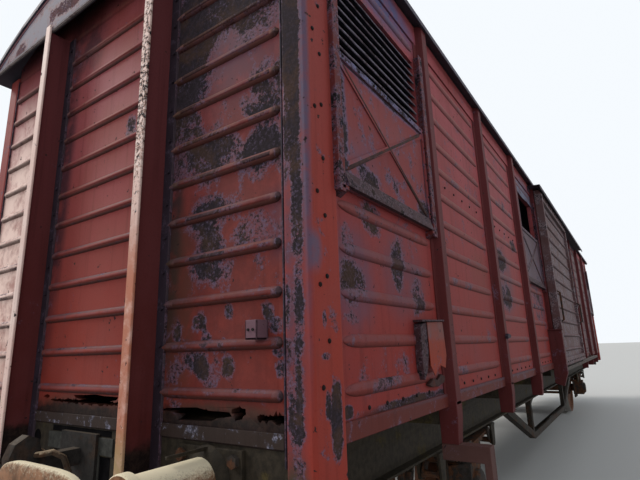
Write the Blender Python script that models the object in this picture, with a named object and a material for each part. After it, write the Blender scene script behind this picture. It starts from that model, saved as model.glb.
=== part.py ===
"""Two-axle covered railway wagon with sliding doors and shuttered vents.

Metres, +Z up, +X towards the end nearest the viewer, +Y the side seen from outside.
Heights count from the lowest point of the wheel flanges.
"""

import math

import bmesh
import bpy
from mathutils import Vector

# Running gear
FLANGE_HEIGHT = 0.030
WHEEL_RADIUS = 0.500
WHEELBASE = 8.000
TREAD_CENTRE = 0.750
TYRE_WIDTH = 0.135
TYRE_DEPTH = 0.065
AXLE_RADIUS = 0.080
JOURNAL_RADIUS = 0.060
JOURNAL_CENTRE = 1.000
JOURNAL_LENGTH = 0.185
RUNNING_CLEARANCE = 0.0055
PIN_CLEARANCE = 0.0010

# Axle boxes, springs and guards
BOX_LENGTH = 0.250
BOX_WIDTH = 0.190
BOX_BELOW = 0.130
BOX_ABOVE = 0.150
BUCKLE_HEIGHT = 0.150
BUCKLE_HALF = 0.075
SPRING_SPAN = 1.100
SPRING_CAMBER = 0.035
LEAF_COUNT = 7
LEAF_THICKNESS = 0.013
LEAF_WIDTH = 0.090
PIN_RADIUS = 0.022
LINK_DROP = 0.085
LINK_REACH = 0.070
LINK_THICKNESS = 0.012
CHEEK_THICKNESS = 0.016
BRACKET_PLATE = 0.014
GUARD_THICKNESS = 0.018
GUARD_SLOT = 0.145
GUARD_LEG = 0.048
GUARD_SPREAD = 0.430
GUARD_DROP = 0.170
GUARD_HEIGHT = 0.180

# Body
BODY_LENGTH = 12.780
BODY_WIDTH = 2.667
WALL = 0.045
SILL_ABOVE_RAIL = 1.170
SILL_HEIGHT = 0.070
FLOOR_ABOVE_SILL = 0.065
FLOOR_THICKNESS = 0.045
EAVE_ABOVE_SILL = 2.350
CROWN_RISE = 0.390
ROOF_THICKNESS = 0.030
ROOF_SIDE_REACH = 0.070
ROOF_END_REACH = 0.135
ROOF_RIM = 0.014
FASCIA_DROP = 0.030
FASCIA_LIP = 0.012
FASCIA_THICKNESS = 0.012
CANT_RAIL_DEPTH = 0.140

# Posts and sheets
BAYS = 4
POST_BASE = 0.165
POST_FACE = 0.076
POST_PROUD = 0.052
POST_FOOT_DROP = 0.190
STEP_REACH = 0.200
STEP_DEPTH = 0.075
STEP_LEG = 0.036
STEP_DROP = 0.120
CORNER_POST_SIDE = 0.180
CORNER_POST_END = 0.100
CORNER_PROUD = 0.012
CORNER_BEVEL = 0.020
DOOR_POST = 0.080
SWAGE_FIRST = 0.172
SWAGE_TOP_MARGIN = 0.070
SWAGE_COUNT = 12
SWAGE_HALF = 0.021
SWAGE_CREST = 0.007
SWAGE_SLOPE = 0.030
SWAGE_PROUD = 0.017
SWAGE_MARGIN = 0.030

# Vents
VENT_BOTTOM = 0.950
VENT_MIDDLE = 1.577
VENT_TOP = 2.066
SLAT_COUNT = 9
SLAT_THICKNESS = 0.006
SLAT_DROP = 0.030
SHUTTER_THICKNESS = 0.018
SHUTTER_SHEET = 0.009
SHUTTER_STAND_OFF = 0.010
SHUTTER_EDGE = 0.034
SHUTTER_RAIL = 0.075
SHUTTER_CREASE = 0.034
GUIDE_WIDTH = 0.030
GUIDE_WEB = 0.012
GUIDE_PROUD = 0.044
SHUTTER_STOP = 0.026

# Doors
DOOR_OPENING = 2.500
DOOR_LAP = 0.070
DOOR_THICKNESS = 0.068
DOOR_STILE = 0.095
DOOR_PANEL = 0.030
DOOR_TRAVEL = 2.500
DOOR_SWAGES = 11
DOOR_SWAGE_INSET = 0.020
DOOR_LIFT = 0.022
ROLLER_RADIUS = 0.042
ROLLER_WIDTH = 0.026
HOOD_REACH = 0.165
HOOD_DEPTH = 0.060
HOOD_SHEET = 0.008
HOOD_END = 0.120
TRACK_DEPTH = 0.040
TRACK_WIDTH = 0.055
LOCK_HEIGHT = 0.450
LOCK_WIDTH = 0.075
LOCK_PROUD = 0.150

# Ends
STANCHION_CENTRE = 0.522
STANCHION_PROUD = 0.146
STANCHION_FLANGE = 0.072
STANCHION_WEB = 0.010
STANCHION_BASE = 0.130
STANCHION_DROP = 0.190
STRIP_HEIGHT = 0.050
STRIP_PROUD = 0.008

# Underframe
SOLEBAR_CENTRE = 1.000
SOLEBAR_TOP_BELOW_SILL = 0.030
SOLEBAR_DEPTH = 0.320
SOLEBAR_FLANGE = 0.120
SOLEBAR_WEB = 0.014
HEADSTOCK_DEPTH = 0.300
HEADSTOCK_WIDTH = 0.120
HEADSTOCK_WEB = 0.018
CROSS_DEPTH = 0.110
CROSS_WIDTH = 0.090
CENTRE_SILL_Y = 0.180
CENTRE_SILL_WIDTH = 0.070
CENTRE_SILL_DEPTH = 0.200
TRUSS_DROP = 0.770
TRUSS_OUTER = 2.490
TRUSS_INNER = 1.390
TRUSS_DEPTH = 0.070
TRUSS_WIDTH = 0.070

# Brakes
BRAKE_GAP = 0.012
SHOE_THICKNESS = 0.055
SHOE_WIDTH = 0.085
SHOE_ANGLE = 17.0
HANGER_THICKNESS = 0.024
HANGER_WIDTH = 0.044
BRAKE_BEAM_RADIUS = 0.026
CYLINDER_RADIUS = 0.155
CYLINDER_LENGTH = 0.540
RESERVOIR_RADIUS = 0.190
RESERVOIR_LENGTH = 1.040
AIR_GEAR_Y = 0.520
AIR_GEAR_DROP = 0.030
HANGER_BAR = 0.030

# Buffers and draw gear
BUFFER_ABOVE_RAIL = 1.050
BUFFER_CENTRE = 0.875
BUFFER_LENGTH = 0.620
BUFFER_DISC = 0.225
BUFFER_CASING = 0.104
BUFFER_PLUNGER = 0.080
BUFFER_PLATE = 0.170
DRAW_PLATE = 0.150
HOOK_THICKNESS = 0.060
LINK_BAR = 0.017
COUPLING_PIN = 0.024
COUPLING_HALF = 0.072

GAP = 0.0003

# The vent that has lost its louvres: side, end, and whether it is the one beside the door
BARE_VENT = (1, 1, True)

# Holes rusted through the front end wall: place and half width as shares of the wall's half width,
# height above the sill and half height in metres
RUST_HOLES = (
    (0.060, 0.128, 0.1275, 0.022),
    (0.592, 0.096, 0.1237, 0.024),
    (0.759, 0.108, 0.0225, 0.022),
)

# Levels and planes that follow from the sizes above
RAIL = FLANGE_HEIGHT
AXLE_Z = RAIL + WHEEL_RADIUS
SILL = RAIL + SILL_ABOVE_RAIL
SHEET_BOTTOM = SILL + SILL_HEIGHT
FLOOR_TOP = SILL + FLOOR_ABOVE_SILL
FLOOR_BOTTOM = FLOOR_TOP - FLOOR_THICKNESS
EAVE = SILL + EAVE_ABOVE_SILL
CROWN = EAVE + CROWN_RISE
CANT_TOP = EAVE - 0.010
CANT_BOTTOM = CANT_TOP - CANT_RAIL_DEPTH
SWAGE_LAST = CANT_BOTTOM - SWAGE_TOP_MARGIN - SILL
SWAGE_PITCH = (SWAGE_LAST - SWAGE_FIRST) / (SWAGE_COUNT - 1)
HALF = BODY_WIDTH / 2
END = BODY_LENGTH / 2
EAVE_Y = HALF + ROOF_SIDE_REACH
ROOF_RADIUS = (EAVE_Y**2 + CROWN_RISE**2) / (2 * CROWN_RISE)
ROOF_CENTRE_Z = CROWN - ROOF_RADIUS
DOOR_HALF = DOOR_OPENING / 2
DOOR_LEAF = DOOR_HALF + DOOR_LAP
DOOR_STAND_OFF = POST_PROUD + RUNNING_CLEARANCE
BAY_PITCH = (END - DOOR_HALF) / BAYS
SILL_IN = HALF - WALL - 0.005
SILL_OUT = HALF + 0.010
SOLEBAR_TOP = SILL - SOLEBAR_TOP_BELOW_SILL
SOLEBAR_BOTTOM = SOLEBAR_TOP - SOLEBAR_DEPTH
HEADSTOCK_TOP = SILL - GAP
HEADSTOCK_BOTTOM = HEADSTOCK_TOP - HEADSTOCK_DEPTH
CENTRE_SILL_BOTTOM = SOLEBAR_TOP - CENTRE_SILL_DEPTH
CROSS_TOP = FLOOR_BOTTOM - GAP
CROSS_BOTTOM = CROSS_TOP - CROSS_DEPTH
BUFFER_Z = RAIL + BUFFER_ABOVE_RAIL
DOOR_BOTTOM = SILL + 0.020
DOOR_TOP = EAVE - 0.085
HOOD_BOTTOM = DOOR_TOP - HOOD_DEPTH / 2
HOOD_TOP = DOOR_TOP + HOOD_DEPTH / 2
POST_TOP = HOOD_BOTTOM - 0.010
TRACK_TOP = DOOR_BOTTOM - DOOR_LIFT
TRACK_BOTTOM = TRACK_TOP - TRACK_DEPTH
GUARD_OUT = SOLEBAR_CENTRE - SOLEBAR_FLANGE / 2 - GAP
EYE_Z = SOLEBAR_BOTTOM - 0.045
BRAKE_REACH = WHEEL_RADIUS + BRAKE_GAP + SHOE_THICKNESS + 0.020

MATERIALS = {
    "body_red": ((0.30, 0.055, 0.045), 0.0, 0.65),
    "body_worn": ((0.14, 0.10, 0.10), 0.0, 0.75),
    "roof_grey": ((0.17, 0.18, 0.20), 0.0, 0.70),
    "floor_wood": ((0.20, 0.13, 0.08), 0.0, 0.80),
    "frame_dark": ((0.045, 0.040, 0.038), 0.1, 0.75),
    "running_gear": ((0.060, 0.048, 0.040), 0.3, 0.65),
    "wheel_steel": ((0.18, 0.16, 0.15), 0.8, 0.45),
    "buffer_rust": ((0.30, 0.17, 0.09), 0.2, 0.70),
}


def clear_scene():
    """Remove every object that the startup file holds."""
    for obj in list(bpy.data.objects):
        bpy.data.objects.remove(obj, do_unlink=True)


def material(name):
    """Return the named material, made on first use."""
    found = bpy.data.materials.get(name)
    if found:
        return found
    colour, metallic, roughness = MATERIALS[name]
    made = bpy.data.materials.new(name)
    made.use_nodes = True
    shader = made.node_tree.nodes["Principled BSDF"]
    shader.inputs["Base Color"].default_value = (*colour, 1.0)
    shader.inputs["Metallic"].default_value = metallic
    shader.inputs["Roughness"].default_value = roughness
    made.diffuse_color = (*colour, 1.0)
    return made


def piece(points, faces, smooth=()):
    """Return one closed shape: points, faces and the numbers of its smooth faces."""
    return [Vector(p) for p in points], [tuple(f) for f in faces], set(smooth)


def on_axis(axis, u, v, along):
    """Place a profile point (u, v) at a distance along the named axis."""
    if axis == "X":
        return along, u, v
    if axis == "Y":
        return u, along, v
    return u, v, along


def loft(sections, smooth=False):
    """Join equal-length rings of points into one closed shape with flat ends."""
    count = len(sections[0])
    points = [p for section in sections for p in section]
    faces = [tuple(range(count))]
    for level in range(len(sections) - 1):
        low = level * count
        for i in range(count):
            j = (i + 1) % count
            faces.append((low + i, low + count + i, low + count + j, low + j))
    last = (len(sections) - 1) * count
    faces.append(tuple(range(last + count - 1, last - 1, -1)))
    rounded = range(1, len(faces) - 1) if smooth else ()
    return piece(points, faces, rounded)


def prism(profile, axis, start, stop, smooth=False):
    """Extrude a closed profile along an axis."""
    rings = [[on_axis(axis, u, v, at) for u, v in profile] for at in (start, stop)]
    return loft(rings, smooth)


def box(x0, x1, y0, y1, z0, z1):
    """Return a block between two corners."""
    return prism([(x0, y0), (x1, y0), (x1, y1), (x0, y1)], "Z", z0, z1)


def frustum(low, high, axis, start, stop):
    """Return a tapered block between two rectangles (u0, u1, v0, v1)."""
    rings = []
    for (u0, u1, v0, v1), at in ((low, start), (high, stop)):
        corners = ((u0, v0), (u1, v0), (u1, v1), (u0, v1))
        rings.append([on_axis(axis, u, v, at) for u, v in corners])
    return loft(rings)


def revolve(profile, axis, centre, steps=32):
    """Turn a profile of (distance along, radius) about an axis through centre."""
    points = []
    faces = []
    rings = []
    for along, radius in profile:
        ring = []
        turns = 1 if radius == 0 else steps
        for k in range(turns):
            angle = 2 * math.pi * k / steps
            u = radius * math.cos(angle)
            v = radius * math.sin(angle)
            ring.append(len(points))
            points.append(Vector(centre) + Vector(on_axis(axis, u, v, along)))
        rings.append(ring)
    for a, b in zip(rings, rings[1:]):
        for k in range(steps):
            n = (k + 1) % steps
            corners = [a[k % len(a)], b[k % len(b)], b[n % len(b)], a[n % len(a)]]
            unique = list(dict.fromkeys(corners))
            if len(unique) > 2:
                faces.append(unique)
    return piece(points, faces, range(len(faces)))


def rod(start, stop, radius, steps=8):
    """Return a round bar between two points."""
    return sweep([start, stop], circle(radius, steps), smooth=True)


def circle(radius, steps, squash=1.0):
    """Return a closed ring of (u, v) points."""
    angles = [2 * math.pi * k / steps for k in range(steps)]
    return [(radius * math.cos(a), squash * radius * math.sin(a)) for a in angles]


def sweep(path, section, smooth=False, up=(0, 0, 1)):
    """Carry a section (sideways, upwards) along a path."""
    path = [Vector(p) for p in path]
    rings = []
    for i, at in enumerate(path):
        before = path[max(i - 1, 0)]
        after = path[min(i + 1, len(path) - 1)]
        ahead = (after - before).normalized()
        guide = Vector(up)
        if abs(ahead.dot(guide)) > 0.99:
            guide = Vector((1, 0, 0))
        side = ahead.cross(guide).normalized()
        high = side.cross(ahead).normalized()
        rings.append([at + side * u + high * v for u, v in section])
    return loft(rings, smooth)


def mirrored(shape, sign_x=1, sign_y=1):
    """Return a copy of a shape turned to another corner of the wagon."""
    points, faces, smooth = shape
    moved = [Vector((p.x * sign_x, p.y * sign_y, p.z)) for p in points]
    return moved, list(faces), set(smooth)


def mesh_of(name, shapes):
    """Join shapes into one mesh, every shell facing out."""
    joined = bmesh.new()
    for points, faces, smooth in shapes:
        part = bmesh.new()
        corners = [part.verts.new(p) for p in points]
        for number, face in enumerate(faces):
            made = part.faces.new([corners[i] for i in face])
            made.smooth = number in smooth
        bmesh.ops.recalc_face_normals(part, faces=part.faces)
        if part.calc_volume(signed=True) < 0:
            bmesh.ops.reverse_faces(part, faces=part.faces)
        scratch = bpy.data.meshes.new(name)
        part.to_mesh(scratch)
        part.free()
        joined.from_mesh(scratch)
        bpy.data.meshes.remove(scratch)
    mesh = bpy.data.meshes.new(name)
    joined.to_mesh(mesh)
    joined.free()
    mesh.set_sharp_from_angle(angle=math.radians(35))
    return mesh


def helper(name, shapes):
    """Return a hidden object that a Boolean uses."""
    obj = bpy.data.objects.new(name, mesh_of(name, shapes))
    bpy.context.scene.collection.objects.link(obj)
    obj.hide_render = True
    obj.display_type = "WIRE"
    return obj


def boolean(obj, name, operation, tool):
    """Add an exact Boolean to an object."""
    modifier = obj.modifiers.new(name, "BOOLEAN")
    modifier.operation = operation
    modifier.solver = "EXACT"
    modifier.use_self = operation == "UNION"
    modifier.object = tool


def node(name, slot, shapes, cuts=(), late=()):
    """Make one solid: the shapes joined, the cuts taken out, the late shapes added last."""
    obj = bpy.data.objects.new(name, mesh_of(name, shapes[:1]))
    bpy.context.scene.collection.objects.link(obj)
    obj.data.materials.append(material(slot))
    if len(shapes) > 1:
        boolean(obj, "Join", "UNION", helper(name + "_joined", shapes[1:]))
    if cuts:
        boolean(obj, "Cut", "DIFFERENCE", helper(name + "_cut", cuts))
    if late:
        boolean(obj, "Add", "UNION", helper(name + "_added", late))
    return obj


def roof_z(y, lift=0.0):
    """Return the height of the roof arc at y, moved outwards by lift."""
    return ROOF_CENTRE_Z + math.sqrt((ROOF_RADIUS + lift) ** 2 - y**2)


def arc_points(half, lift, count=13):
    """Return points (y, z) along the roof arc from -half to +half."""
    ys = [-half + 2 * half * k / (count - 1) for k in range(count)]
    return [(y, roof_z(y, lift)) for y in ys]


def under_roof(half, drop):
    """Return the facets of the roof's underside between -half and +half, lowered by drop."""
    facets = arc_points(EAVE_Y, -ROOF_THICKNESS)
    inside = [(y, z) for y, z in facets if abs(y) < half]
    low, high = [(a, b) for a, b in zip(facets, facets[1:]) if a[0] <= -half < b[0]][0]
    share = (-half - low[0]) / (high[0] - low[0])
    edge = low[1] + share * (high[1] - low[1])
    outline = [(-half, edge)] + inside + [(half, edge)]
    return [(y, z - drop) for y, z in outline]


def offset(shape, dx, dy, dz):
    """Return a copy of a shape moved by the given distances."""
    points, faces, smooth = shape
    return [p + Vector((dx, dy, dz)) for p in points], list(faces), set(smooth)


def both_ways(outline):
    """Complete a right-hand outline of (u, v) points with its mirror image."""
    return outline + [(-u, v) for u, v in reversed(outline)]


def ragged(u, v, half_width, half_height):
    """Return the torn outline of a hole that rust has eaten."""
    outline = []
    for k in range(12):
        angle = 2 * math.pi * k / 12
        reach = 1.0 + 0.20 * math.sin(3 * angle + u) + 0.16 * math.sin(5 * angle)
        outline.append((u + half_width * reach * math.cos(angle), v + half_height * reach * math.sin(angle)))
    return outline


def wheelset(name, sign):
    """Axle, two wheels and journals turned as one body."""
    inner = TREAD_CENTRE - TYRE_WIDTH / 2
    outer = TREAD_CENTRE + TYRE_WIDTH / 2
    tread = WHEEL_RADIUS
    rim = tread - TYRE_DEPTH
    flange = tread + FLANGE_HEIGHT
    journal_out = JOURNAL_CENTRE + 0.080
    journal_in = journal_out - JOURNAL_LENGTH
    half = [
        (inner - 0.012, AXLE_RADIUS),
        (inner - 0.012, AXLE_RADIUS + 0.050),
        (TREAD_CENTRE - 0.014, AXLE_RADIUS + 0.075),
        (TREAD_CENTRE + 0.006, rim - 0.022),
        (inner, rim),
        (inner, flange - 0.006),
        (inner + 0.013, flange),
        (inner + 0.034, tread + 0.002),
        (outer, tread - 0.005),
        (outer, rim),
        (TREAD_CENTRE + 0.028, rim - 0.022),
        (TREAD_CENTRE + 0.008, AXLE_RADIUS + 0.075),
        (outer + 0.012, AXLE_RADIUS + 0.050),
        (outer + 0.012, AXLE_RADIUS - 0.005),
        (journal_in, AXLE_RADIUS - 0.005),
        (journal_in + 0.010, JOURNAL_RADIUS),
        (journal_out, JOURNAL_RADIUS),
        (journal_out, 0.0),
    ]
    profile = [(-a, r) for a, r in reversed(half)] + half
    centre = (sign * WHEELBASE / 2, 0, AXLE_Z)
    node(name, "wheel_steel", [revolve(profile, "Y", centre, 20)])


def leaf_stack():
    """Return the stepped outline (x, z) of the laminated spring, its top leaf ending in the eyes."""
    half = SPRING_SPAN / 2
    top = EYE_Z - SPRING_CAMBER + LEAF_THICKNESS / 2

    def surface(x, leaves):
        return top + SPRING_CAMBER * (x / half) ** 2 - leaves * LEAF_THICKNESS

    upper = [(half * k / 4, surface(half * k / 4, 0)) for k in range(4, -5, -1)]
    steps = []
    for leaf in range(LEAF_COUNT):
        reach = half * (1 - leaf / (LEAF_COUNT + 0.7))
        steps += [(reach, surface(reach, leaf)), (reach, surface(reach, leaf + 1))]
    lower = [(-x, z) for x, z in steps[1:]] + steps[:0:-1]
    return upper + lower


def obround(start, stop, radius, steps=6):
    """Return the outline of a link: two round ends joined by straight sides."""
    ahead = math.atan2(stop[1] - start[1], stop[0] - start[0])
    outline = []
    for centre, turn in ((stop, -math.pi / 2), (start, math.pi / 2)):
        for k in range(steps // 2 + 1):
            angle = ahead + turn + 2 * math.pi * k / steps
            outline.append((centre[0] + radius * math.cos(angle), centre[1] + radius * math.sin(angle)))
    return outline


def hanger_pin(side):
    """Return where (x, z) the pin at the foot of a spring link lies, from the axle's centre."""
    return side * (SPRING_SPAN / 2 + LINK_REACH), EYE_Z - LINK_DROP


def suspension(name, sign_x, sign_y):
    """Axle box with its laminated spring, buckle and the links that hang from the spring's eyes."""
    y = JOURNAL_CENTRE
    box_top = AXLE_Z + BOX_ABOVE
    half_box = BOX_LENGTH / 2
    half_leaf = LEAF_WIDTH / 2
    cover = [
        (y + 0.080, 0.0),
        (y + 0.080, 0.105),
        (y + 0.120, 0.105),
        (y + 0.135, 0.085),
        (y + 0.135, 0.0),
    ]
    shapes = [
        box(-half_box, half_box, y - BOX_WIDTH / 2, y + BOX_WIDTH / 2, AXLE_Z - BOX_BELOW, box_top),
        revolve(cover, "Y", (0, 0, AXLE_Z), 12),
    ]
    horn = GUARD_SLOT - GAP
    shapes.append(box(-horn, horn, y - BOX_WIDTH / 2 + 0.001, y - 0.045, AXLE_Z - 0.110, box_top - 0.020))
    buckle = (-BUCKLE_HALF, BUCKLE_HALF, y - half_leaf - 0.016, y + half_leaf + 0.016)
    shapes.append(frustum((-0.11, 0.11, buckle[2], buckle[3]), buckle, "Z", box_top - 0.020, box_top + 0.030))
    shapes.append(box(*buckle, box_top + 0.029, box_top - 0.020 + BUCKLE_HEIGHT))
    shapes.append(prism(leaf_stack(), "Y", y - half_leaf, y + half_leaf))
    cheek_in = half_leaf + LINK_THICKNESS + 0.009
    for side in (-1, 1):
        eye = (side * SPRING_SPAN / 2, EYE_Z)
        foot = hanger_pin(side)
        ends = [(eye[0], y + offset, EYE_Z) for offset in (-half_leaf, half_leaf)]
        shapes.append(rod(ends[0], ends[1], PIN_RADIUS + LEAF_THICKNESS, 8))
        for x, z in (eye, foot):
            shapes.append(rod((x, y - cheek_in + GAP, z), (x, y + cheek_in - GAP, z), PIN_RADIUS, 8))
        for face in (-1, 1):
            near = y + face * (half_leaf + 0.003)
            link = obround(eye, foot, PIN_RADIUS + 0.013)
            shapes.append(prism(link, "Y", *sorted((near, near + face * LINK_THICKNESS))))
    shapes = [mirrored(offset(s, WHEELBASE / 2, 0, 0), sign_x, sign_y) for s in shapes]
    bore_r = (JOURNAL_RADIUS + PIN_CLEARANCE) / math.cos(math.pi / 12)
    bottom = y + 0.080 + RUNNING_CLEARANCE
    bore = [(y - 0.2, 0.0), (y - 0.2, bore_r), (bottom, bore_r), (bottom, 0.0)]
    cut = mirrored(revolve(bore, "Y", (WHEELBASE / 2, 0, AXLE_Z), 12), sign_x, sign_y)
    node(name, "running_gear", shapes, cuts=[cut])


def axle_guard(name, sign_x, sign_y):
    """Forked plate on the solebar that keeps the axle box in place, with the tie across its feet."""
    foot = AXLE_Z - GUARD_DROP
    arch = SOLEBAR_BOTTOM + 0.015
    leg = GUARD_SLOT + GUARD_LEG
    outline = [
        (GUARD_SLOT, arch - 0.050),
        (GUARD_SLOT, foot),
        (leg, foot),
        (leg + 0.045, AXLE_Z + 0.060),
        (GUARD_SPREAD, SOLEBAR_BOTTOM - 0.010),
        (GUARD_SPREAD, SOLEBAR_BOTTOM + GUARD_HEIGHT - 0.040),
        (GUARD_SPREAD - 0.060, SOLEBAR_BOTTOM + GUARD_HEIGHT),
    ]
    outline = both_ways(outline) + [(-GUARD_SLOT + 0.050, arch), (GUARD_SLOT - 0.050, arch)]
    inside = GUARD_OUT - GUARD_THICKNESS
    tie = leg - 0.002
    shapes = [
        prism(outline, "Y", inside, GUARD_OUT),
        box(-tie, tie, inside - 0.004, GUARD_OUT + 0.004, foot - 0.020, foot + 0.028),
    ]
    shapes = [mirrored(offset(s, WHEELBASE / 2, 0, 0), sign_x, sign_y) for s in shapes]
    node(name, "frame_dark", shapes)


def cross_stations():
    """Return where the cross members stand: below every post and at the middle."""
    posts = [side * (END - k * BAY_PITCH) for k in range(1, BAYS + 1) for side in (-1, 1)]
    return posts + [0.0]


def solebars():
    """Return the two I-section solebars and the pair of centre sills."""
    web = SOLEBAR_WEB
    half = SOLEBAR_FLANGE / 2
    low, high = SOLEBAR_BOTTOM, SOLEBAR_TOP
    reach = END - HEADSTOCK_WIDTH / 2
    shapes = []
    for side in (-1, 1):
        y = side * SOLEBAR_CENTRE
        right = [
            (half, low),
            (half, low + web),
            (web / 2, low + web),
            (web / 2, high - web),
            (half, high - web),
            (half, high),
        ]
        beam = [(y + u, v) for u, v in both_ways(right)]
        shapes.append(prism(beam, "X", -reach, reach))
        y = side * CENTRE_SILL_Y
        half_sill = CENTRE_SILL_WIDTH / 2
        shapes.append(box(-reach, reach, y - half_sill, y + half_sill, CENTRE_SILL_BOTTOM, high))
    return shapes


def headstock(side):
    """Return the channel across one end."""
    front = side * END
    back = side * (END - HEADSTOCK_WIDTH)
    web = side * (END - HEADSTOCK_WEB)
    low, high = HEADSTOCK_BOTTOM, HEADSTOCK_TOP
    t = HEADSTOCK_WEB
    channel = [
        (front, low),
        (front, high),
        (back, high),
        (back, high - t),
        (web, high - t),
        (web, low + t),
        (back, low + t),
        (back, low),
    ]
    reach = HALF - CORNER_POST_END - GAP
    return prism(channel, "Y", -reach, reach)


def spring_bracket(sign_x, sign_y, side):
    """Return the cap and the two cheeks that hold the pin of one spring link."""
    x, z = hanger_pin(side)
    y = SOLEBAR_CENTRE
    inner = LEAF_WIDTH / 2 + LINK_THICKNESS + 0.009
    outer = inner + CHEEK_THICKNESS
    cheek = [
        (x - 0.055, SOLEBAR_BOTTOM - 0.002),
        (x + 0.055, SOLEBAR_BOTTOM - 0.002),
        (x + 0.034, z - 0.030),
        (x + 0.018, z - 0.042),
        (x - 0.018, z - 0.042),
        (x - 0.034, z - 0.030),
    ]
    reach = outer + 0.002
    foot = SOLEBAR_BOTTOM - BRACKET_PLATE
    shapes = [box(x - 0.060, x + 0.060, y - reach, y + reach, foot, SOLEBAR_BOTTOM + 0.005)]
    shapes.append(prism(cheek, "Y", y + inner, y + outer))
    shapes.append(prism(cheek, "Y", y - outer, y - inner))
    return [mirrored(offset(s, WHEELBASE / 2, 0, 0), sign_x, sign_y) for s in shapes]


def underframe():
    """Solebars, centre sills, headstocks, cross members and spring brackets in one."""
    shapes = solebars() + [headstock(-1), headstock(1)]
    half = CROSS_WIDTH / 2
    reach = SILL_IN - GAP
    for x in cross_stations():
        shapes.append(box(x - half, x + half, -reach, reach, CROSS_BOTTOM, CROSS_TOP))
    for x in brake_bars():
        top = CROSS_TOP - 0.040
        shapes.append(box(x - half, x + half, -SOLEBAR_CENTRE, SOLEBAR_CENTRE, CROSS_BOTTOM, top))
    for sign_x in (-1, 1):
        for sign_y in (-1, 1):
            for side in (-1, 1):
                shapes += spring_bracket(sign_x, sign_y, side)
    node("underframe", "frame_dark", shapes)


def floor():
    """Plank deck between the sills, notched round the corner posts."""
    x = END - WALL - GAP
    x_notch = END - CORNER_POST_SIDE - GAP
    y = SILL_IN - GAP
    y_notch = HALF - CORNER_POST_END - GAP
    quarter = [(x, y_notch), (x_notch, y_notch), (x_notch, y)]
    outline = quarter + [(-u, v) for u, v in reversed(quarter)]
    outline += [(-u, -v) for u, v in quarter]
    outline += [(u, -v) for u, v in reversed(quarter)]
    node("floor", "floor_wood", [prism(outline, "Z", FLOOR_BOTTOM, FLOOR_TOP)])


def roof():
    """Arched sheet with side lips, and a fascia set back inside the rim at both ends."""
    reach = END + ROOF_END_REACH
    eave = EAVE - FASCIA_DROP
    shell = arc_points(EAVE_Y, 0.0)
    under = arc_points(EAVE_Y, -ROOF_THICKNESS)
    shapes = [prism(shell + under[::-1], "X", -reach, reach)]
    lip = 0.012
    for side in (-1, 1):
        y = side * EAVE_Y
        inner = side * (EAVE_Y - lip)
        profile = [(y, eave), (y, EAVE - 0.004), (inner, EAVE - 0.004), (inner, eave)]
        shapes.append(prism(profile, "X", -reach, reach))
        fascia = arc_points(EAVE_Y, -0.010) + [(EAVE_Y, eave), (-EAVE_Y, eave)]
        face = side * (reach - ROOF_RIM)
        shapes.append(prism(fascia, "X", face, face - side * FASCIA_THICKNESS))
        edge = sorted((face - side * 0.004, side * reach))
        shapes.append(box(*edge, -EAVE_Y + 0.001, EAVE_Y - 0.001, eave, eave + FASCIA_LIP))
    node("roof", "roof_grey", shapes)


def post_stations(sign_x):
    """Return the centres of the posts of one half, between corner and door."""
    return [sign_x * (END - k * BAY_PITCH) for k in range(1, BAYS)]


def side_post(side, x):
    """Return one hat-section post and its foot."""
    base = POST_BASE / 2
    face = POST_FACE / 2
    back = side * (HALF + GAP)
    front = side * (HALF + POST_PROUD)
    hat = [(x - base, back), (x + base, back), (x + face, front), (x - face, front)]
    low = (x - face, x + face, side * SILL_IN, front - side * 0.012)
    high = (x - face - 0.010, x + face + 0.010, side * SILL_IN, front)
    foot = frustum(low, high, "Z", SILL - POST_FOOT_DROP, SILL + 0.030)
    return [prism(hat, "Z", SILL + 0.010, POST_TOP), foot]


def step_arm(side, x):
    """Return the arm below a post's foot that turns down where the step was."""
    low = SILL - POST_FOOT_DROP - STEP_DEPTH
    top = SILL - POST_FOOT_DROP + 0.005
    half = POST_FACE / 2 + 0.004
    tip = HALF + STEP_REACH
    profile = [
        (side * SILL_IN, low),
        (side * (tip - STEP_LEG), low),
        (side * (tip - STEP_LEG), low - STEP_DROP),
        (side * tip, low - STEP_DROP),
        (side * tip, top),
        (side * SILL_IN, top),
    ]
    return prism(profile, "X", x - half, x + half)


def corner_post(side, sign_x):
    """Return one corner post, outer edge bevelled, standing down over the headstock's end."""
    outer = sign_x * (END + CORNER_PROUD)
    inner = sign_x * (END - CORNER_POST_SIDE)
    back = side * (HALF - CORNER_POST_END)
    front = side * (HALF + 0.020)
    r = CORNER_BEVEL
    outline = [
        (outer, back),
        (outer, front - side * r),
        (outer - sign_x * r * 0.3, front - side * r * 0.3),
        (outer - sign_x * r, front),
        (inner, front),
        (inner, back),
    ]
    return prism(outline, "Z", SILL - POST_FOOT_DROP, CANT_TOP)


def shutter_guide(side, edge, inward):
    """Return the angle that guides one edge of a vent shutter."""
    low = SILL + VENT_BOTTOM - 0.030
    high = SILL + VENT_TOP + 0.020
    outer = edge - inward * 0.020
    back = side * (HALF + GAP)
    lip = side * (HALF + SHUTTER_STAND_OFF + SHUTTER_THICKNESS + RUNNING_CLEARANCE)
    front = side * (HALF + GUIDE_PROUD)
    outline = [
        (outer, back),
        (edge + inward * GUIDE_WEB, back),
        (edge + inward * GUIDE_WEB, lip),
        (edge + inward * GUIDE_WIDTH, lip),
        (edge + inward * GUIDE_WIDTH, front),
        (outer, front),
    ]
    return prism(outline, "Z", low, high)


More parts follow.
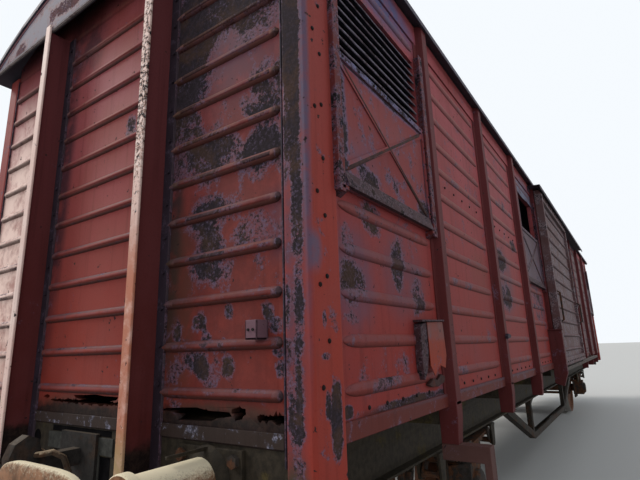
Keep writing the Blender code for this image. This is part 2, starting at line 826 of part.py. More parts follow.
def shutter_stop(side, edge, inward):
    """Return the lug at a guide's foot on which the closed shutter stands."""
    top = SILL + VENT_BOTTOM - GAP
    near = edge + inward * GUIDE_WEB * 0.5
    far = edge + inward * (GUIDE_WIDTH + SHUTTER_STOP)
    back = side * (HALF + GAP)
    front = side * (HALF + GUIDE_PROUD)
    profile = [(back, top - 0.040), (front, top - 0.016), (front, top), (back, top)]
    return prism(profile, "X", *sorted((near, far)))


def door_lock(side):
    """Return the deep bracket with a ledge that the closed door leaf meets."""
    near = DOOR_LEAF + RUNNING_CLEARANCE
    far = near + LOCK_WIDTH
    back = side * (HALF + GAP)
    front = side * (HALF + LOCK_PROUD)
    foot = SILL - POST_FOOT_DROP - 0.010
    top = SILL + LOCK_HEIGHT
    profile = [
        (back, foot + 0.030),
        (side * (HALF + 0.095), foot),
        (front, SILL - 0.050),
        (front, top),
        (back, top),
    ]
    plate = prism(profile, "X", side * near, side * far)
    reach = side * (HALF + LOCK_PROUD + 0.012)
    along = sorted((side * near, side * (far + 0.020)))
    ledge = box(*along, *sorted((back, reach)), top - 0.002, top + 0.010)
    return [plate, ledge]


def side_frame(name, side):
    """Sill, posts with feet, cant rail, corner and door posts, shutter guides and lock of one side."""
    inner = side * SILL_IN
    outer = side * SILL_OUT
    reach = END - 0.050
    shapes = [box(-reach, reach, inner, outer, SILL, SHEET_BOTTOM)]
    shapes.append(box(-reach, reach, inner, outer, CANT_BOTTOM, CANT_TOP))
    front = side * (HALF + POST_PROUD)
    for sign_x in (-1, 1):
        for x in post_stations(sign_x):
            shapes += side_post(side, x)
        shapes.append(corner_post(side, sign_x))
        if sign_x == side:
            shapes.append(step_arm(side, post_stations(sign_x)[0]))
        near, far = sign_x * DOOR_HALF, sign_x * (DOOR_HALF + DOOR_POST)
        shapes.append(box(near, far, inner, front, SILL + 0.005, POST_TOP))
    shapes += door_lock(side)
    for near, far in vent_bays():
        shapes.append(shutter_guide(side, near, 1))
        shapes.append(shutter_guide(side, far, -1))
        shapes += [shutter_stop(side, near, 1), shutter_stop(side, far, -1)]
    node(name, "body_red", shapes)


def vent_bays():
    """Return the clear x range of each vent bay: the first and last of each half."""
    half_post = POST_BASE / 2
    bays = []
    for sign_x in (1, -1):
        corner = (END - CORNER_POST_SIDE, END - BAY_PITCH + half_post)
        beside_door = (END - (BAYS - 1) * BAY_PITCH - half_post, DOOR_HALF + DOOR_POST)
        for a, b in (corner, beside_door):
            bays.append(tuple(sorted((sign_x * a, sign_x * b))))
    return bays


def plain_bays():
    """Return the clear x range of the bays without vents."""
    half_post = POST_BASE / 2
    bays = []
    for sign_x in (1, -1):
        for k in range(1, BAYS - 1):
            a = END - k * BAY_PITCH - half_post
            b = END - (k + 1) * BAY_PITCH + half_post
            bays.append(tuple(sorted((sign_x * a, sign_x * b))))
    return bays


def ridge(a, b, z, plane, axis):
    """Return one pressed ridge from a to b, standing out of the sheet plane across axis."""
    root = plane - math.copysign(0.012, plane)
    crest = plane + math.copysign(SWAGE_PROUD, plane)
    low = (a, b, z - SWAGE_HALF, z + SWAGE_HALF)
    high = (a + SWAGE_SLOPE, b - SWAGE_SLOPE, z - SWAGE_CREST, z + SWAGE_CREST)
    return frustum(low, high, axis, root, crest)


def ridge_ends(bay, side, sign_x):
    """Return where the ridges of a bay end, clear of the lock beside the door."""
    a, b = bay[0] + SWAGE_MARGIN, bay[1] - SWAGE_MARGIN
    beside_door = min(abs(bay[0]), abs(bay[1])) < DOOR_HALF + DOOR_POST + 0.001
    if beside_door and side == sign_x:
        clear = DOOR_LEAF + RUNNING_CLEARANCE + LOCK_WIDTH + 0.030
        return (clear, b) if sign_x > 0 else (a, -clear)
    return a, b


def louvre(side, a, b, low, high):
    """Return the sloping slats across one vent."""
    pitch = (high - low) / SLAT_COUNT
    back = side * (HALF - WALL + 0.007)
    front = side * (HALF - 0.003)
    half_drop = SLAT_DROP / 2
    slats = []
    for k in range(SLAT_COUNT):
        middle = low + (k + 0.5) * pitch
        outline = [
            (back, middle + half_drop),
            (back, middle + half_drop + SLAT_THICKNESS),
            (front, middle - half_drop + SLAT_THICKNESS),
            (front, middle - half_drop),
        ]
        slats.append(prism(outline, "X", a - 0.006, b + 0.006))
    return slats


def side_sheet(name, side, sign_x):
    """Ridged wall of one half side, with the louvres of its two vents."""
    near = sign_x * (DOOR_HALF + DOOR_POST + GAP)
    far = sign_x * (END - CORNER_POST_SIDE - GAP)
    inner = side * (HALF - WALL)
    outer = side * HALF
    shapes = [box(*sorted((near, far)), inner, outer, SHEET_BOTTOM + GAP, CANT_BOTTOM - GAP)]
    levels = [SWAGE_FIRST + k * SWAGE_PITCH for k in range(SWAGE_COUNT)]
    for bay in plain_bays():
        if bay[0] * sign_x > 0:
            a, b = ridge_ends(bay, side, sign_x)
            shapes += [ridge(a, b, SILL + level, outer, "Y") for level in levels]
    cuts = []
    slats = []
    for bay in vent_bays():
        if bay[0] * sign_x < 0:
            continue
        a, b = ridge_ends(bay, side, sign_x)
        for level in levels:
            below = level + SWAGE_HALF < VENT_BOTTOM - 0.030
            above = level - SWAGE_HALF > VENT_TOP + 0.020
            if below or above:
                shapes.append(ridge(a, b, SILL + level, outer, "Y"))
        low = SILL + VENT_MIDDLE
        high = SILL + VENT_TOP - 0.020
        a, b = bay[0] + 0.030, bay[1] - 0.030
        cuts.append(box(a, b, inner - side * 0.050, outer + side * 0.050, low, high))
        beside_door = min(abs(a), abs(b)) < DOOR_HALF + BAY_PITCH / 2
        if (side, sign_x, beside_door) != BARE_VENT:
            slats += louvre(side, a, b, low, high)
    node(name, "body_red", shapes, cuts=cuts, late=slats)


def shutter(name, side, bay):
    """Pressed panel that slides up over a vent: a rim, crossed creases and a drip ledge."""
    a = bay[0] + GUIDE_WEB + RUNNING_CLEARANCE
    b = bay[1] - GUIDE_WEB - RUNNING_CLEARANCE
    low = SILL + VENT_BOTTOM
    high = SILL + VENT_MIDDLE
    back = side * (HALF + SHUTTER_STAND_OFF)
    sheet = back + side * SHUTTER_SHEET
    front = back + side * SHUTTER_THICKNESS
    edge = SHUTTER_EDGE
    foot = low + SHUTTER_RAIL
    shapes = [box(a, b, back, front, low, high)]
    recess = box(a + edge, b - edge, sheet, front + side * 0.050, foot, high - edge)
    crest = sheet + side * 0.007
    creases = []
    half = SHUTTER_CREASE / 2
    for start, stop in (((a, foot), (b, high - edge)), ((a, high - edge), (b, foot))):
        lean = math.atan2(stop[1] - start[1], stop[0] - start[0])
        dx, dz = half * math.sin(lean), -half * math.cos(lean)
        ring = [(start[0] + dx, start[1] + dz), (stop[0] + dx, stop[1] + dz)]
        ring += [(stop[0] - dx, stop[1] - dz), (start[0] - dx, start[1] - dz)]
        keep = [(min(max(x, a + 0.005), b - 0.005), min(max(z, foot - 0.020), high - 0.010)) for x, z in ring]
        creases.append(prism(keep, "Y", *sorted((sheet - side * 0.004, crest))))
    ledge = [
        (back + side * 0.003, foot - 0.006),
        (front, foot - 0.006),
        (side * (HALF + GUIDE_PROUD + 0.002), low + 0.010),
        (side * (HALF + GUIDE_PROUD + 0.002), low + 0.001),
        (back + side * 0.003, low + 0.001),
    ]
    drip = prism(ledge, "X", a + GUIDE_WIDTH, b - GUIDE_WIDTH)
    node(name, "body_worn", shapes, cuts=[recess], late=creases + [drip])


def end_wall(name, sign_x):
    """Ridged wall of one end, up to the roof, rusted through along the foot at the front."""
    half = HALF - CORNER_POST_END - GAP
    outline = under_roof(half, GAP) + [(half, SILL + GAP), (-half, SILL + GAP)]
    inner = sign_x * (END - WALL)
    outer = sign_x * END
    shapes = [prism(outline, "X", inner, outer)]
    s = STANCHION_CENTRE
    b = STANCHION_BASE / 2 + 0.020
    fields = [(-half + SWAGE_MARGIN, -s - b), (-s + b, s - b), (s + b, half - SWAGE_MARGIN)]
    for k in range(SWAGE_COUNT):
        z = SILL + SWAGE_FIRST + k * SWAGE_PITCH
        shapes += [ridge(y0, y1, z, outer, "X") for y0, y1 in fields]
    cuts = []
    if sign_x > 0:
        for place, height, half_width, half_height in RUST_HOLES:
            torn = ragged(place * HALF, SILL + height, half_width * HALF, half_height)
            cuts.append(prism(torn, "X", inner - 0.050, outer + 0.050))
    node(name, "body_red", shapes, cuts=cuts)


def end_frame(name, sign_x):
    """Two flanged stanchions tied by a strip along the foot of the end sheet."""
    back = sign_x * (END + GAP)
    leaf = sign_x * (END + 0.010)
    flange = sign_x * (END + STANCHION_PROUD - 0.012)
    front = sign_x * (END + STANCHION_PROUD)
    web = STANCHION_WEB / 2
    face = STANCHION_FLANGE / 2
    base = STANCHION_BASE / 2
    top = EAVE - FASCIA_DROP - 0.004
    right = [(back, base), (leaf, base), (leaf, web), (flange, web), (flange, face), (front, face)]
    shapes = []
    for side in (-1, 1):
        y = side * STANCHION_CENTRE
        section = [(x, y + v) for x, v in right] + [(x, y - v) for x, v in reversed(right)]
        shapes.append(prism(section, "Z", SILL - STANCHION_DROP, top))
        tab = sign_x * (END + ROOF_END_REACH + GAP)
        shapes.append(box(*sorted((tab, front)), y - face, y + face, top - 0.050, EAVE + 0.005))
    reach = HALF - CORNER_POST_END - 0.010
    strip = sorted((back, sign_x * (END + STRIP_PROUD)))
    foot = SILL + 0.005
    shapes.append(box(*strip, -reach, reach, foot, foot + STRIP_HEIGHT))
    node(name, "body_worn", shapes)


def door_plane():
    """Return the distance from the wagon's middle to the middle of a door leaf."""
    return HALF + DOOR_STAND_OFF + DOOR_THICKNESS / 2


def door(name, side):
    """Framed sliding door with a ridged panel, a deep leading stile and two bottom rollers."""
    leaf = DOOR_LEAF
    back = side * (HALF + DOOR_STAND_OFF)
    front = back + side * DOOR_THICKNESS
    panel = back + side * DOOR_PANEL
    low, high = DOOR_BOTTOM, DOOR_TOP
    stile = DOOR_STILE
    inset = stile + DOOR_SWAGE_INSET
    shapes = [box(-leaf, leaf, *sorted((back, front)), low, high)]
    hollow = sorted((panel, front + side * 0.050))
    recess = box(-leaf + stile, leaf - stile, *hollow, low + stile, high - stile)
    late = []
    for k in range(DOOR_SWAGES):
        z = low + stile + (k + 0.5) * (high - low - 2 * stile) / DOOR_SWAGES
        late.append(ridge(-leaf + inset, leaf - inset, z, panel, "Y"))
    lead = sorted((side * leaf, side * (leaf - 0.055)))
    deep = side * (HALF + LOCK_PROUD)
    late.append(box(*lead, *sorted((front - side * 0.005, deep)), low + 0.040, high - 0.060))
    roller_z = TRACK_TOP + PIN_CLEARANCE + ROLLER_RADIUS
    for x in (-leaf + 0.250, leaf - 0.250):
        a, b = door_plane() - ROLLER_WIDTH / 2, door_plane() + ROLLER_WIDTH / 2
        disc = [(side * a, 0.0), (side * a, ROLLER_RADIUS), (side * b, ROLLER_RADIUS), (side * b, 0.0)]
        late.append(revolve(disc, "Y", (x, 0, roller_z), 12))
    node(name, "body_worn", shapes, cuts=[recess], late=late)


def rail_end():
    """Return how far from the middle the door's rails reach on the side it opens to."""
    return DOOR_LEAF + DOOR_TRAVEL + HOOD_END


def door_hood(name, side):
    """Top rail that covers the head of the sliding door."""
    near = side * (DOOR_LEAF + 0.160)
    back = side * (SILL_OUT + GAP)
    front = side * (HALF + HOOD_REACH)
    t = HOOD_SHEET
    profile = [
        (back, HOOD_BOTTOM - 0.005),
        (back, HOOD_TOP),
        (front, HOOD_TOP - 0.012),
        (front, HOOD_BOTTOM),
        (front - side * t, HOOD_BOTTOM),
        (front - side * t, HOOD_TOP - 0.012 - t),
        (back + side * t, HOOD_TOP - t),
        (back + side * t, HOOD_BOTTOM - 0.005),
    ]
    node(name, "body_red", [prism(profile, "X", *sorted((-side * rail_end(), near)))])


def door_track(name, side):
    """Bottom rail on brackets in front of the sill, ending at the lock."""
    near = side * (DOOR_LEAF + RUNNING_CLEARANCE - GAP)
    back = side * (door_plane() - TRACK_WIDTH / 2)
    front = side * (door_plane() + TRACK_WIDTH / 2)
    shapes = [box(*sorted((-side * rail_end(), near)), *sorted((back, front)), TRACK_BOTTOM, TRACK_TOP)]
    bays = [END - (k + 0.5) * BAY_PITCH for k in (BAYS - 2, BAYS - 1)]
    stations = [-side * (x + step) for x in bays for step in (-BAY_PITCH / 4, BAY_PITCH / 4)]
    stations += [DOOR_HALF * share for share in (-0.72, -0.24, 0.24, 0.72)]
    foot = side * (SILL_OUT + GAP)
    hold = back + side * 0.020
    bracket = [
        (foot, SILL + 0.004),
        (foot, SILL + 0.062),
        (foot + side * 0.010, SILL + 0.062),
        (foot + side * 0.010, SILL + 0.012),
        (hold, TRACK_TOP - 0.004),
        (hold, TRACK_BOTTOM + 0.004),
        (foot + side * 0.004, TRACK_BOTTOM + 0.010),
    ]
    shapes += [prism(bracket, "X", x - 0.030, x + 0.030) for x in stations]
    node(name, "frame_dark", shapes)


def buffer_stop(name, sign_x, sign_y):
    """Buffer with base plate, casing, plunger and domed disc."""
    y = sign_y * BUFFER_CENTRE
    base = END + GAP
    tip = END + BUFFER_LENGTH
    half = BUFFER_PLATE
    outline = (y - half, y + half, BUFFER_Z - 0.140, BUFFER_Z + 0.110)
    plate = frustum(outline, outline, "X", sign_x * base, sign_x * (base + 0.018))
    profile = [
        (base + 0.005, 0.0),
        (base + 0.005, BUFFER_CASING + 0.014),
        (base + 0.045, BUFFER_CASING + 0.004),
        (base + 0.330, BUFFER_CASING),
        (base + 0.332, BUFFER_CASING + 0.010),
        (base + 0.365, BUFFER_CASING + 0.010),
        (base + 0.367, BUFFER_PLUNGER),
        (tip - 0.060, BUFFER_PLUNGER),
        (tip - 0.034, BUFFER_DISC),
        (tip - 0.014, BUFFER_DISC),
        (tip, BUFFER_DISC * 0.35),
        (tip, 0.0),
    ]
    profile = [(sign_x * along, radius) for along, radius in profile]
    node(name, "buffer_rust", [plate, revolve(profile, "X", (0, y, BUFFER_Z), 16)])


def hook_outline(x, z):
    """Return the side view of the draw hook from its plate at x and height z."""
    steps = (
        (0.010, -0.035),
        (0.010, 0.035),
        (0.150, 0.035),
        (0.190, 0.050),
        (0.205, 0.105),
        (0.250, 0.125),
        (0.300, 0.095),
        (0.320, 0.040),
        (0.310, -0.030),
        (0.270, -0.075),
        (0.200, -0.075),
        (0.150, -0.040),
    )
    return [(x + dx, z + dz) for dx, dz in steps]


def draw_gear(name, sign_x):
    """Draw hook with a screw coupling hanging from it."""
    x = END + GAP
    z = BUFFER_Z
    half = DRAW_PLATE
    plate = box(*sorted((sign_x * x, sign_x * (x + 0.020))), -half, half, z - 0.130, z + 0.100)
    hook = [(sign_x * u, v) for u, v in hook_outline(x, z)]
    shapes = [plate, prism(hook, "Y", -HOOK_THICKNESS / 2, HOOK_THICKNESS / 2)]
    pin_x = sign_x * (x + 0.215)
    nut_x = sign_x * (x + 0.225)
    pin_z = z - 0.020
    nut_z = pin_z - 0.225
    low_z = nut_z - 0.230
    reach = COUPLING_HALF + COUPLING_PIN
    bar = circle(LINK_BAR, 6)
    shapes.append(rod((pin_x, -reach, pin_z), (pin_x, reach, pin_z), LINK_BAR + 0.003))
    for side in (-1, 1):
        y = side * COUPLING_HALF
        path = [(pin_x, y, pin_z + 0.030), (pin_x, y, pin_z - 0.080), (nut_x, y * 0.85, nut_z - 0.010)]
        shapes.append(sweep(path, bar, smooth=True, up=(1, 0, 0)))
    for level in (nut_z, low_z):
        shapes.append(rod((nut_x, -reach, level), (nut_x, reach, level), COUPLING_PIN))
    shapes.append(rod((nut_x, 0, nut_z + 0.030), (nut_x, 0, low_z - 0.030), LINK_BAR))
    bow = []
    for k in range(7):
        angle = math.pi * k / 6
        drop = 0.100 + COUPLING_HALF * math.sin(angle)
        bow.append((nut_x, COUPLING_HALF * math.cos(angle), low_z - drop))
    path = [(nut_x, COUPLING_HALF, low_z + 0.030)] + bow + [(nut_x, -COUPLING_HALF, low_z + 0.030)]
    shapes.append(sweep(path, bar, smooth=True, up=(1, 0, 0)))
    node(name, "running_gear", shapes)


def truss(name, side):
    """Queen-post truss below one solebar."""
    y = side * SOLEBAR_CENTRE
    top = SOLEBAR_BOTTOM - GAP
    low = SILL - TRUSS_DROP
    half = TRUSS_DEPTH / 2
    right = [
        (TRUSS_INNER, low - half),
        (TRUSS_OUTER + 0.100, top - 0.030),
        (TRUSS_OUTER + 0.100, top),
        (TRUSS_OUTER - 0.060, top),
        (TRUSS_INNER - 0.020, low + half),
    ]
    shapes = [prism(both_ways(right), "Y", y - TRUSS_WIDTH / 2, y + TRUSS_WIDTH / 2)]
    for x in (-TRUSS_INNER, TRUSS_INNER):
        shapes.append(box(x - 0.035, x + 0.035, y - 0.030, y + 0.030, low, top))
        narrow = (x - 0.035, x + 0.035, y - 0.030, y + 0.030)
        wide = (x - 0.090, x + 0.090, y - 0.050, y + 0.050)
        shapes.append(frustum(narrow, wide, "Z", top - 0.060, top))
    node(name, "frame_dark", shapes)


def brake_bars():
    """Return where the cross bars stand that carry the brake hangers."""
    return [sign_x * WHEELBASE / 2 + s * BRAKE_REACH for sign_x in (-1, 1) for s in (-1, 1)]


def brake_shoe(x, s, t):
    """Return one shoe that faces the tread at side s of the axle at x, on wheel t."""
    y = TREAD_CENTRE + 0.018
    inner = WHEEL_RADIUS + BRAKE_GAP
    outer = inner + SHOE_THICKNESS
    turns = [math.radians(SHOE_ANGLE * k) for k in (-1.0, -0.34, 0.34, 1.0)]
    outline = [(x + s * inner * math.cos(a), AXLE_Z + inner * math.sin(a)) for a in turns]
    outline += [(x + s * outer * math.cos(a), AXLE_Z + outer * math.sin(a)) for a in reversed(turns)]
    return prism(outline, "Y", *sorted((t * (y - SHOE_WIDTH / 2), t * (y + SHOE_WIDTH / 2))))


def brake_rigging(name, sign_x):
    """Shoes, hangers and beams around one wheelset."""
    x = sign_x * WHEELBASE / 2
    y = TREAD_CENTRE + 0.018
    beam_z = AXLE_Z - 0.060
    half = HANGER_WIDTH / 2
    shapes = []
    ends = []
    for s in (-1, 1):
        foot = x + s * (WHEEL_RADIUS + BRAKE_GAP + SHOE_THICKNESS - 0.010)
        head = x + s * BRAKE_REACH
        for t in (-1, 1):
            shapes.append(brake_shoe(x, s, t))
            hanger = [
                (foot - half, beam_z),
                (foot + half, beam_z),
                (head + half, CROSS_BOTTOM - GAP),
                (head - half, CROSS_BOTTOM - GAP),
            ]
            thick = HANGER_THICKNESS / 2
            shapes.append(prism(hanger, "Y", t * y - thick, t * y + thick))
        shapes.append(rod((foot, -y - 0.030, beam_z), (foot, y + 0.030, beam_z), BRAKE_BEAM_RADIUS))
        ends.append(foot)
    low = AXLE_Z - AXLE_RADIUS - 0.085
    rod_path = [(ends[0], 0, beam_z), (ends[0] + 0.12, 0, low)]
    rod_path += [(ends[1] - 0.12, 0, low), (ends[1], 0, beam_z)]
    shapes.append(sweep(rod_path, [(-0.02, -0.03), (0.02, -0.03), (0.02, 0.03), (-0.02, 0.03)]))
    node(name, "running_gear", shapes)


def air_brake():
    """Brake cylinder and air reservoir on one bar below the centre sills."""
    z = SOLEBAR_BOTTOM - AIR_GEAR_DROP
    r = CYLINDER_RADIUS
    start = -CYLINDER_LENGTH * 0.55
    stop = start + CYLINDER_LENGTH
    cylinder = [
        (start, 0.0),
        (start, r * 0.75),
        (start + 0.030, r),
        (stop - 0.040, r),
        (stop - 0.036, r + 0.030),
        (stop - 0.006, r + 0.030),
        (stop, r * 0.65),
        (stop + 0.060, 0.050),
        (stop + 0.060, 0.022),
        (stop + 0.380, 0.022),
        (stop + 0.380, 0.0),
    ]
    half = RESERVOIR_LENGTH / 2
    dome = RESERVOIR_RADIUS
    right = [(half - 0.100, dome), (half - 0.050, dome * 0.84), (half - 0.010, dome * 0.47), (half, 0.0)]
    reservoir = [(-along, radius) for along, radius in reversed(right)] + right
    y = AIR_GEAR_Y
    bar_top = CENTRE_SILL_BOTTOM - GAP
    shapes = [
        box(-0.045, 0.045, -y - 0.050, y + 0.050, bar_top - HANGER_BAR, bar_top),
        revolve(cylinder, "X", (0, y, z), 16),
        revolve(reservoir, "X", (0, -y, z), 16),
    ]
    for side in (-1, 1):
        across = (side * y - 0.045, side * y + 0.045)
        shapes.append(box(-0.040, 0.040, *across, bar_top - 0.020, CROSS_BOTTOM - GAP))
    node("air_brake", "running_gear", shapes)


SIDES = (("left", 1), ("right", -1))
ENDS = (("front", 1), ("rear", -1))


def main():
    """Build every sub-part of the wagon."""
    clear_scene()
    underframe()
    floor()
    roof()
    for side_name, side in SIDES:
        side_frame("side_frame_" + side_name, side)
        door("door_" + side_name, side)
        door_hood("door_hood_" + side_name, side)
        door_track("door_track_" + side_name, side)
        truss("truss_" + side_name, side)
        for end_name, sign_x in ENDS:
            corner = f"{side_name}_{end_name}"
            side_sheet("side_sheet_" + corner, side, sign_x)
            suspension("suspension_" + corner, sign_x, side)
            axle_guard("axle_guard_" + corner, sign_x, side)
            buffer_stop("buffer_" + corner, sign_x, side)
        for number, bay in enumerate(sorted(vent_bays(), reverse=True), 1):
            shutter(f"shutter_{side_name}_{number}", side, bay)
    for end_name, sign_x in ENDS:
        end_wall("end_wall_" + end_name, sign_x)
        end_frame("end_frame_" + end_name, sign_x)
        draw_gear("draw_gear_" + end_name, sign_x)
        wheelset("wheelset_" + end_name, sign_x)
        brake_rigging("brake_rigging_" + end_name, sign_x)
    air_brake()


main()
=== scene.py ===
"""Looks of a two-axle covered railway wagon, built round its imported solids."""

from __future__ import annotations

import logging
import math
import random
from dataclasses import dataclass
from enum import Enum

import bmesh
import bpy
from mathutils import Matrix, Vector


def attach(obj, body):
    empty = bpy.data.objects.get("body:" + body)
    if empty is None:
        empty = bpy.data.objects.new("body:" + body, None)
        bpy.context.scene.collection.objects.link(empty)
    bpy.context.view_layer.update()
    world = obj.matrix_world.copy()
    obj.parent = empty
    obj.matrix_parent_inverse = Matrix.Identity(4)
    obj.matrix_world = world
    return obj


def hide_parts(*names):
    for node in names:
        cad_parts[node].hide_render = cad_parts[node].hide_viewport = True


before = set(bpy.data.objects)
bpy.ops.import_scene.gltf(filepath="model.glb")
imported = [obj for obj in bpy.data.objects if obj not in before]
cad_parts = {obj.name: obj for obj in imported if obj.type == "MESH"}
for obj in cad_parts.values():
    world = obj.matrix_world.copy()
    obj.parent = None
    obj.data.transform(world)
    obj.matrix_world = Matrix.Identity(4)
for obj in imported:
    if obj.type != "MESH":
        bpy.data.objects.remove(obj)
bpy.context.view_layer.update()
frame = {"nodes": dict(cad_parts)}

LOG = logging.getLogger("wagon")
Colour = tuple[float, float, float]
Point = tuple[float, float, float]
Flat = tuple[float, float]
Socket = bpy.types.NodeSocket

SILL = 1.200  # underside of the body, above the rail
END = 6.390  # middle of the wagon to the end sheet
HALF = 1.3335  # middle of the wagon to the side sheet
EAVE = 3.550
EAVE_Y = 1.4035
BAY = 1.285  # from one side post to the next
BAYS = 4
POST_HALF = 0.0825
CORNER = 0.180  # length of a corner post along the side
DOOR_POST = 0.080
DOOR_HALF = 1.250
DOOR_LEAF = 1.320  # half the length of a door leaf
POST_DROP = 0.190  # how far posts reach below the sill
AXLE_Z = 0.530
AXLE_X = 4.000
VENT_LOW = 1.577  # foot of the vents, above the sill
VENT_HIGH = 2.046
SHUTTER_LOW = 0.950  # foot of a closed shutter, above the sill
SWAGE_FIRST = 0.172
SWAGE_PITCH = 0.178
SWAGE_COUNT = 12
SKIN = 0.0003  # gap that keeps two faces from lying in one plane
BODY = "wagon"
ENDS = (("front", 1), ("rear", -1))
SIDES = (("left", 1), ("right", -1))


def seen(tint: int) -> Colour:
    """Turn a colour as it looks on a screen into the linear one that a shader takes.

    Args:
        tint: The screen colour, written as 0xRRGGBB.

    Returns:
        The linear colour.
    """
    levels = [(tint >> shift & 255) / 255 for shift in (16, 8, 0)]
    return tuple(v / 12.92 if v <= 0.04045 else ((v + 0.055) / 1.055) ** 2.4 for v in levels)


def times(colour: Colour, factor: float) -> Colour:
    """Return a colour made darker or lighter."""
    return tuple(min(1.0, c * factor) for c in colour)


class Axis(Enum):
    """Direction along which an outline is drawn out."""

    X = 0
    Y = 1
    Z = 2


class Graph:
    """Shader tree of one finish, with a short method for each node that it uses."""

    def __init__(self, name: str) -> None:
        """Start a material with a shader and the object's own coordinates.

        Args:
            name: Name of the material.
        """
        self.material = bpy.data.materials.new(name)
        self.material.use_nodes = True
        self.tree = self.material.node_tree
        self.tree.nodes.clear()
        self.shader = self.node("BsdfPrincipled", {})
        self.node("OutputMaterial", {"Surface": self.shader.outputs["BSDF"]})
        self.place = self.node("TexCoord", {}).outputs["Object"]

    def put(self, socket: Socket, value: object) -> None:
        """Link a socket to an output, or give it a constant.

        Args:
            socket: The input.
            value: An output, a number, a vector or a colour.
        """
        if isinstance(value, bpy.types.NodeSocket):
            self.tree.links.new(value, socket)
        elif isinstance(value, tuple) and socket.type == "RGBA":
            socket.default_value = (*value[:3], 1.0)
        else:
            socket.default_value = value

    def node(self, kind: str, inputs: dict[str | int, object], **settings: object) -> bpy.types.Node:
        """Add a node.

        Args:
            kind: Its type, without the word Shader and Node before it.
            inputs: Value of each input that isn't left as it is.
            **settings: Properties of the node, set before the inputs.

        Returns:
            The node.
        """
        node = self.tree.nodes.new("ShaderNode" + kind)
        for key, value in settings.items():
            setattr(node, key, value)
        for key, value in inputs.items():
            self.put(node.inputs[key], value)
        return node

    def surface(self, colour: object, rough: object, mirror: float | None = None) -> None:
        """Set the shader's colour, its roughness and how strongly it mirrors.

        Args:
            colour: The colour.
            rough: The roughness.
            mirror: Level of the mirroring, where it isn't left as it is.
        """
        self.put(self.shader.inputs["Base Color"], colour)
        self.put(self.shader.inputs["Roughness"], rough)
        if mirror is not None:
            self.put(self.shader.inputs["Specular IOR Level"], mirror)

    def math(self, kind: str, *values: object, clamp: bool = False) -> Socket:
        """Combine numbers.

        Args:
            kind: The operation.
            *values: The numbers or outputs.
            clamp: Whether the result stays between 0 and 1.

        Returns:
            The result.
        """
        return self.node("Math", dict(enumerate(values)), operation=kind, use_clamp=clamp).outputs[0]

    def by(self, first: object, second: object) -> Socket:
        """Return the product of two numbers."""
        return self.math("MULTIPLY", first, second)

    def plus(self, value: object, factor: object, base: object) -> Socket:
        """Return a base with a value added that is multiplied by a factor first."""
        return self.math("MULTIPLY_ADD", value, factor, base)

    def moved(self, scale: Point = (1, 1, 1), shift: Point = (0, 0, 0)) -> Socket:
        """Return the object's coordinates, scaled and moved."""
        inputs = {"Vector": self.place, "Location": shift, "Scale": scale}
        return self.node("Mapping", inputs).outputs["Vector"]

    def noise(self, scale: float, detail: float = 4.0, rough: float = 0.5, warp: float = 0.0,
              at: Socket | None = None) -> Socket:
        """Return a soft random pattern.

        Args:
            scale: Spots per metre.
            detail: Number of finer layers.
            rough: Weight of the finer layers.
            warp: How far the pattern is bent by itself.
            at: Coordinates, where they aren't the object's own.

        Returns:
            The pattern, about 0.5 on average.
        """
        inputs = {"Vector": self.place if at is None else at, "Scale": scale, "Detail": detail}
        return self.node("TexNoise", {**inputs, "Roughness": rough, "Distortion": warp}).outputs["Fac"]

    def step(self, value: object, low: float, high: float, start: float = 0.0, stop: float = 1.0) -> Socket:
        """Ramp smoothly from one number to another while a value crosses a range.

        Args:
            value: The value.
            low: Where the ramp begins.
            high: Where the ramp ends.
            start: Result below the range.
            stop: Result above the range.

        Returns:
            The ramped number.
        """
        inputs = {"Value": value, "From Min": low, "From Max": high, "To Min": start, "To Max": stop}
        return self.node("MapRange", inputs, interpolation_type="SMOOTHSTEP").outputs["Result"]

    def mix(self, share: object, first: object, second: object) -> Socket:
        """Return a mix of two colours, with the share of the second given first."""
        return self.node("Mix", {0: share, 6: first, 7: second}, data_type="RGBA").outputs[2]

    def split(self, vector: Socket | None = None) -> tuple[Socket, ...]:
        """Return the three parts of a vector, or of the object's coordinates."""
        return tuple(self.node("SeparateXYZ", {0: self.place if vector is None else vector}).outputs)

    def facing(self) -> Socket:
        """Return how far the surface faces up, from -1 to 1."""
        return self.split(self.node("NewGeometry", {}).outputs["Normal"])[2]

    def near(self, spot: Patch | Stain) -> Socket:
        """Return 1 at a spot's middle that falls smoothly to 0 at its edge.

        Args:
            spot: The spot.

        Returns:
            The closeness.
        """
        scale = tuple(1 / r for r in spot.reach)
        at = self.moved(scale, tuple(-c * s for c, s in zip(spot.centre, scale)))
        away = self.node("VectorMath", {0: at}, operation="LENGTH").outputs["Value"]
        return self.step(away, 0.35, 1.0, 1.0, 0.0)

    def bump(self, height: object, strength: float, distance: float) -> None:
        """Give the shader small relief.

        Args:
            height: The height pattern.
            strength: How much of it shows.
            distance: Height in metres of a full step.
        """
        node = self.node("Bump", {"Strength": strength, "Distance": distance, "Height": height})
        self.put(self.shader.inputs["Normal"], node.outputs["Normal"])


@dataclass(frozen=True)
class Patch:
    """A place in the wagon's frame where the paint holds better or worse than elsewhere."""

    centre: Point
    reach: Point
    strength: float


@dataclass(frozen=True)
class Stain:
    """A place in the wagon's frame that has taken another colour."""

    centre: Point
    reach: Point
    colour: int
    share: float


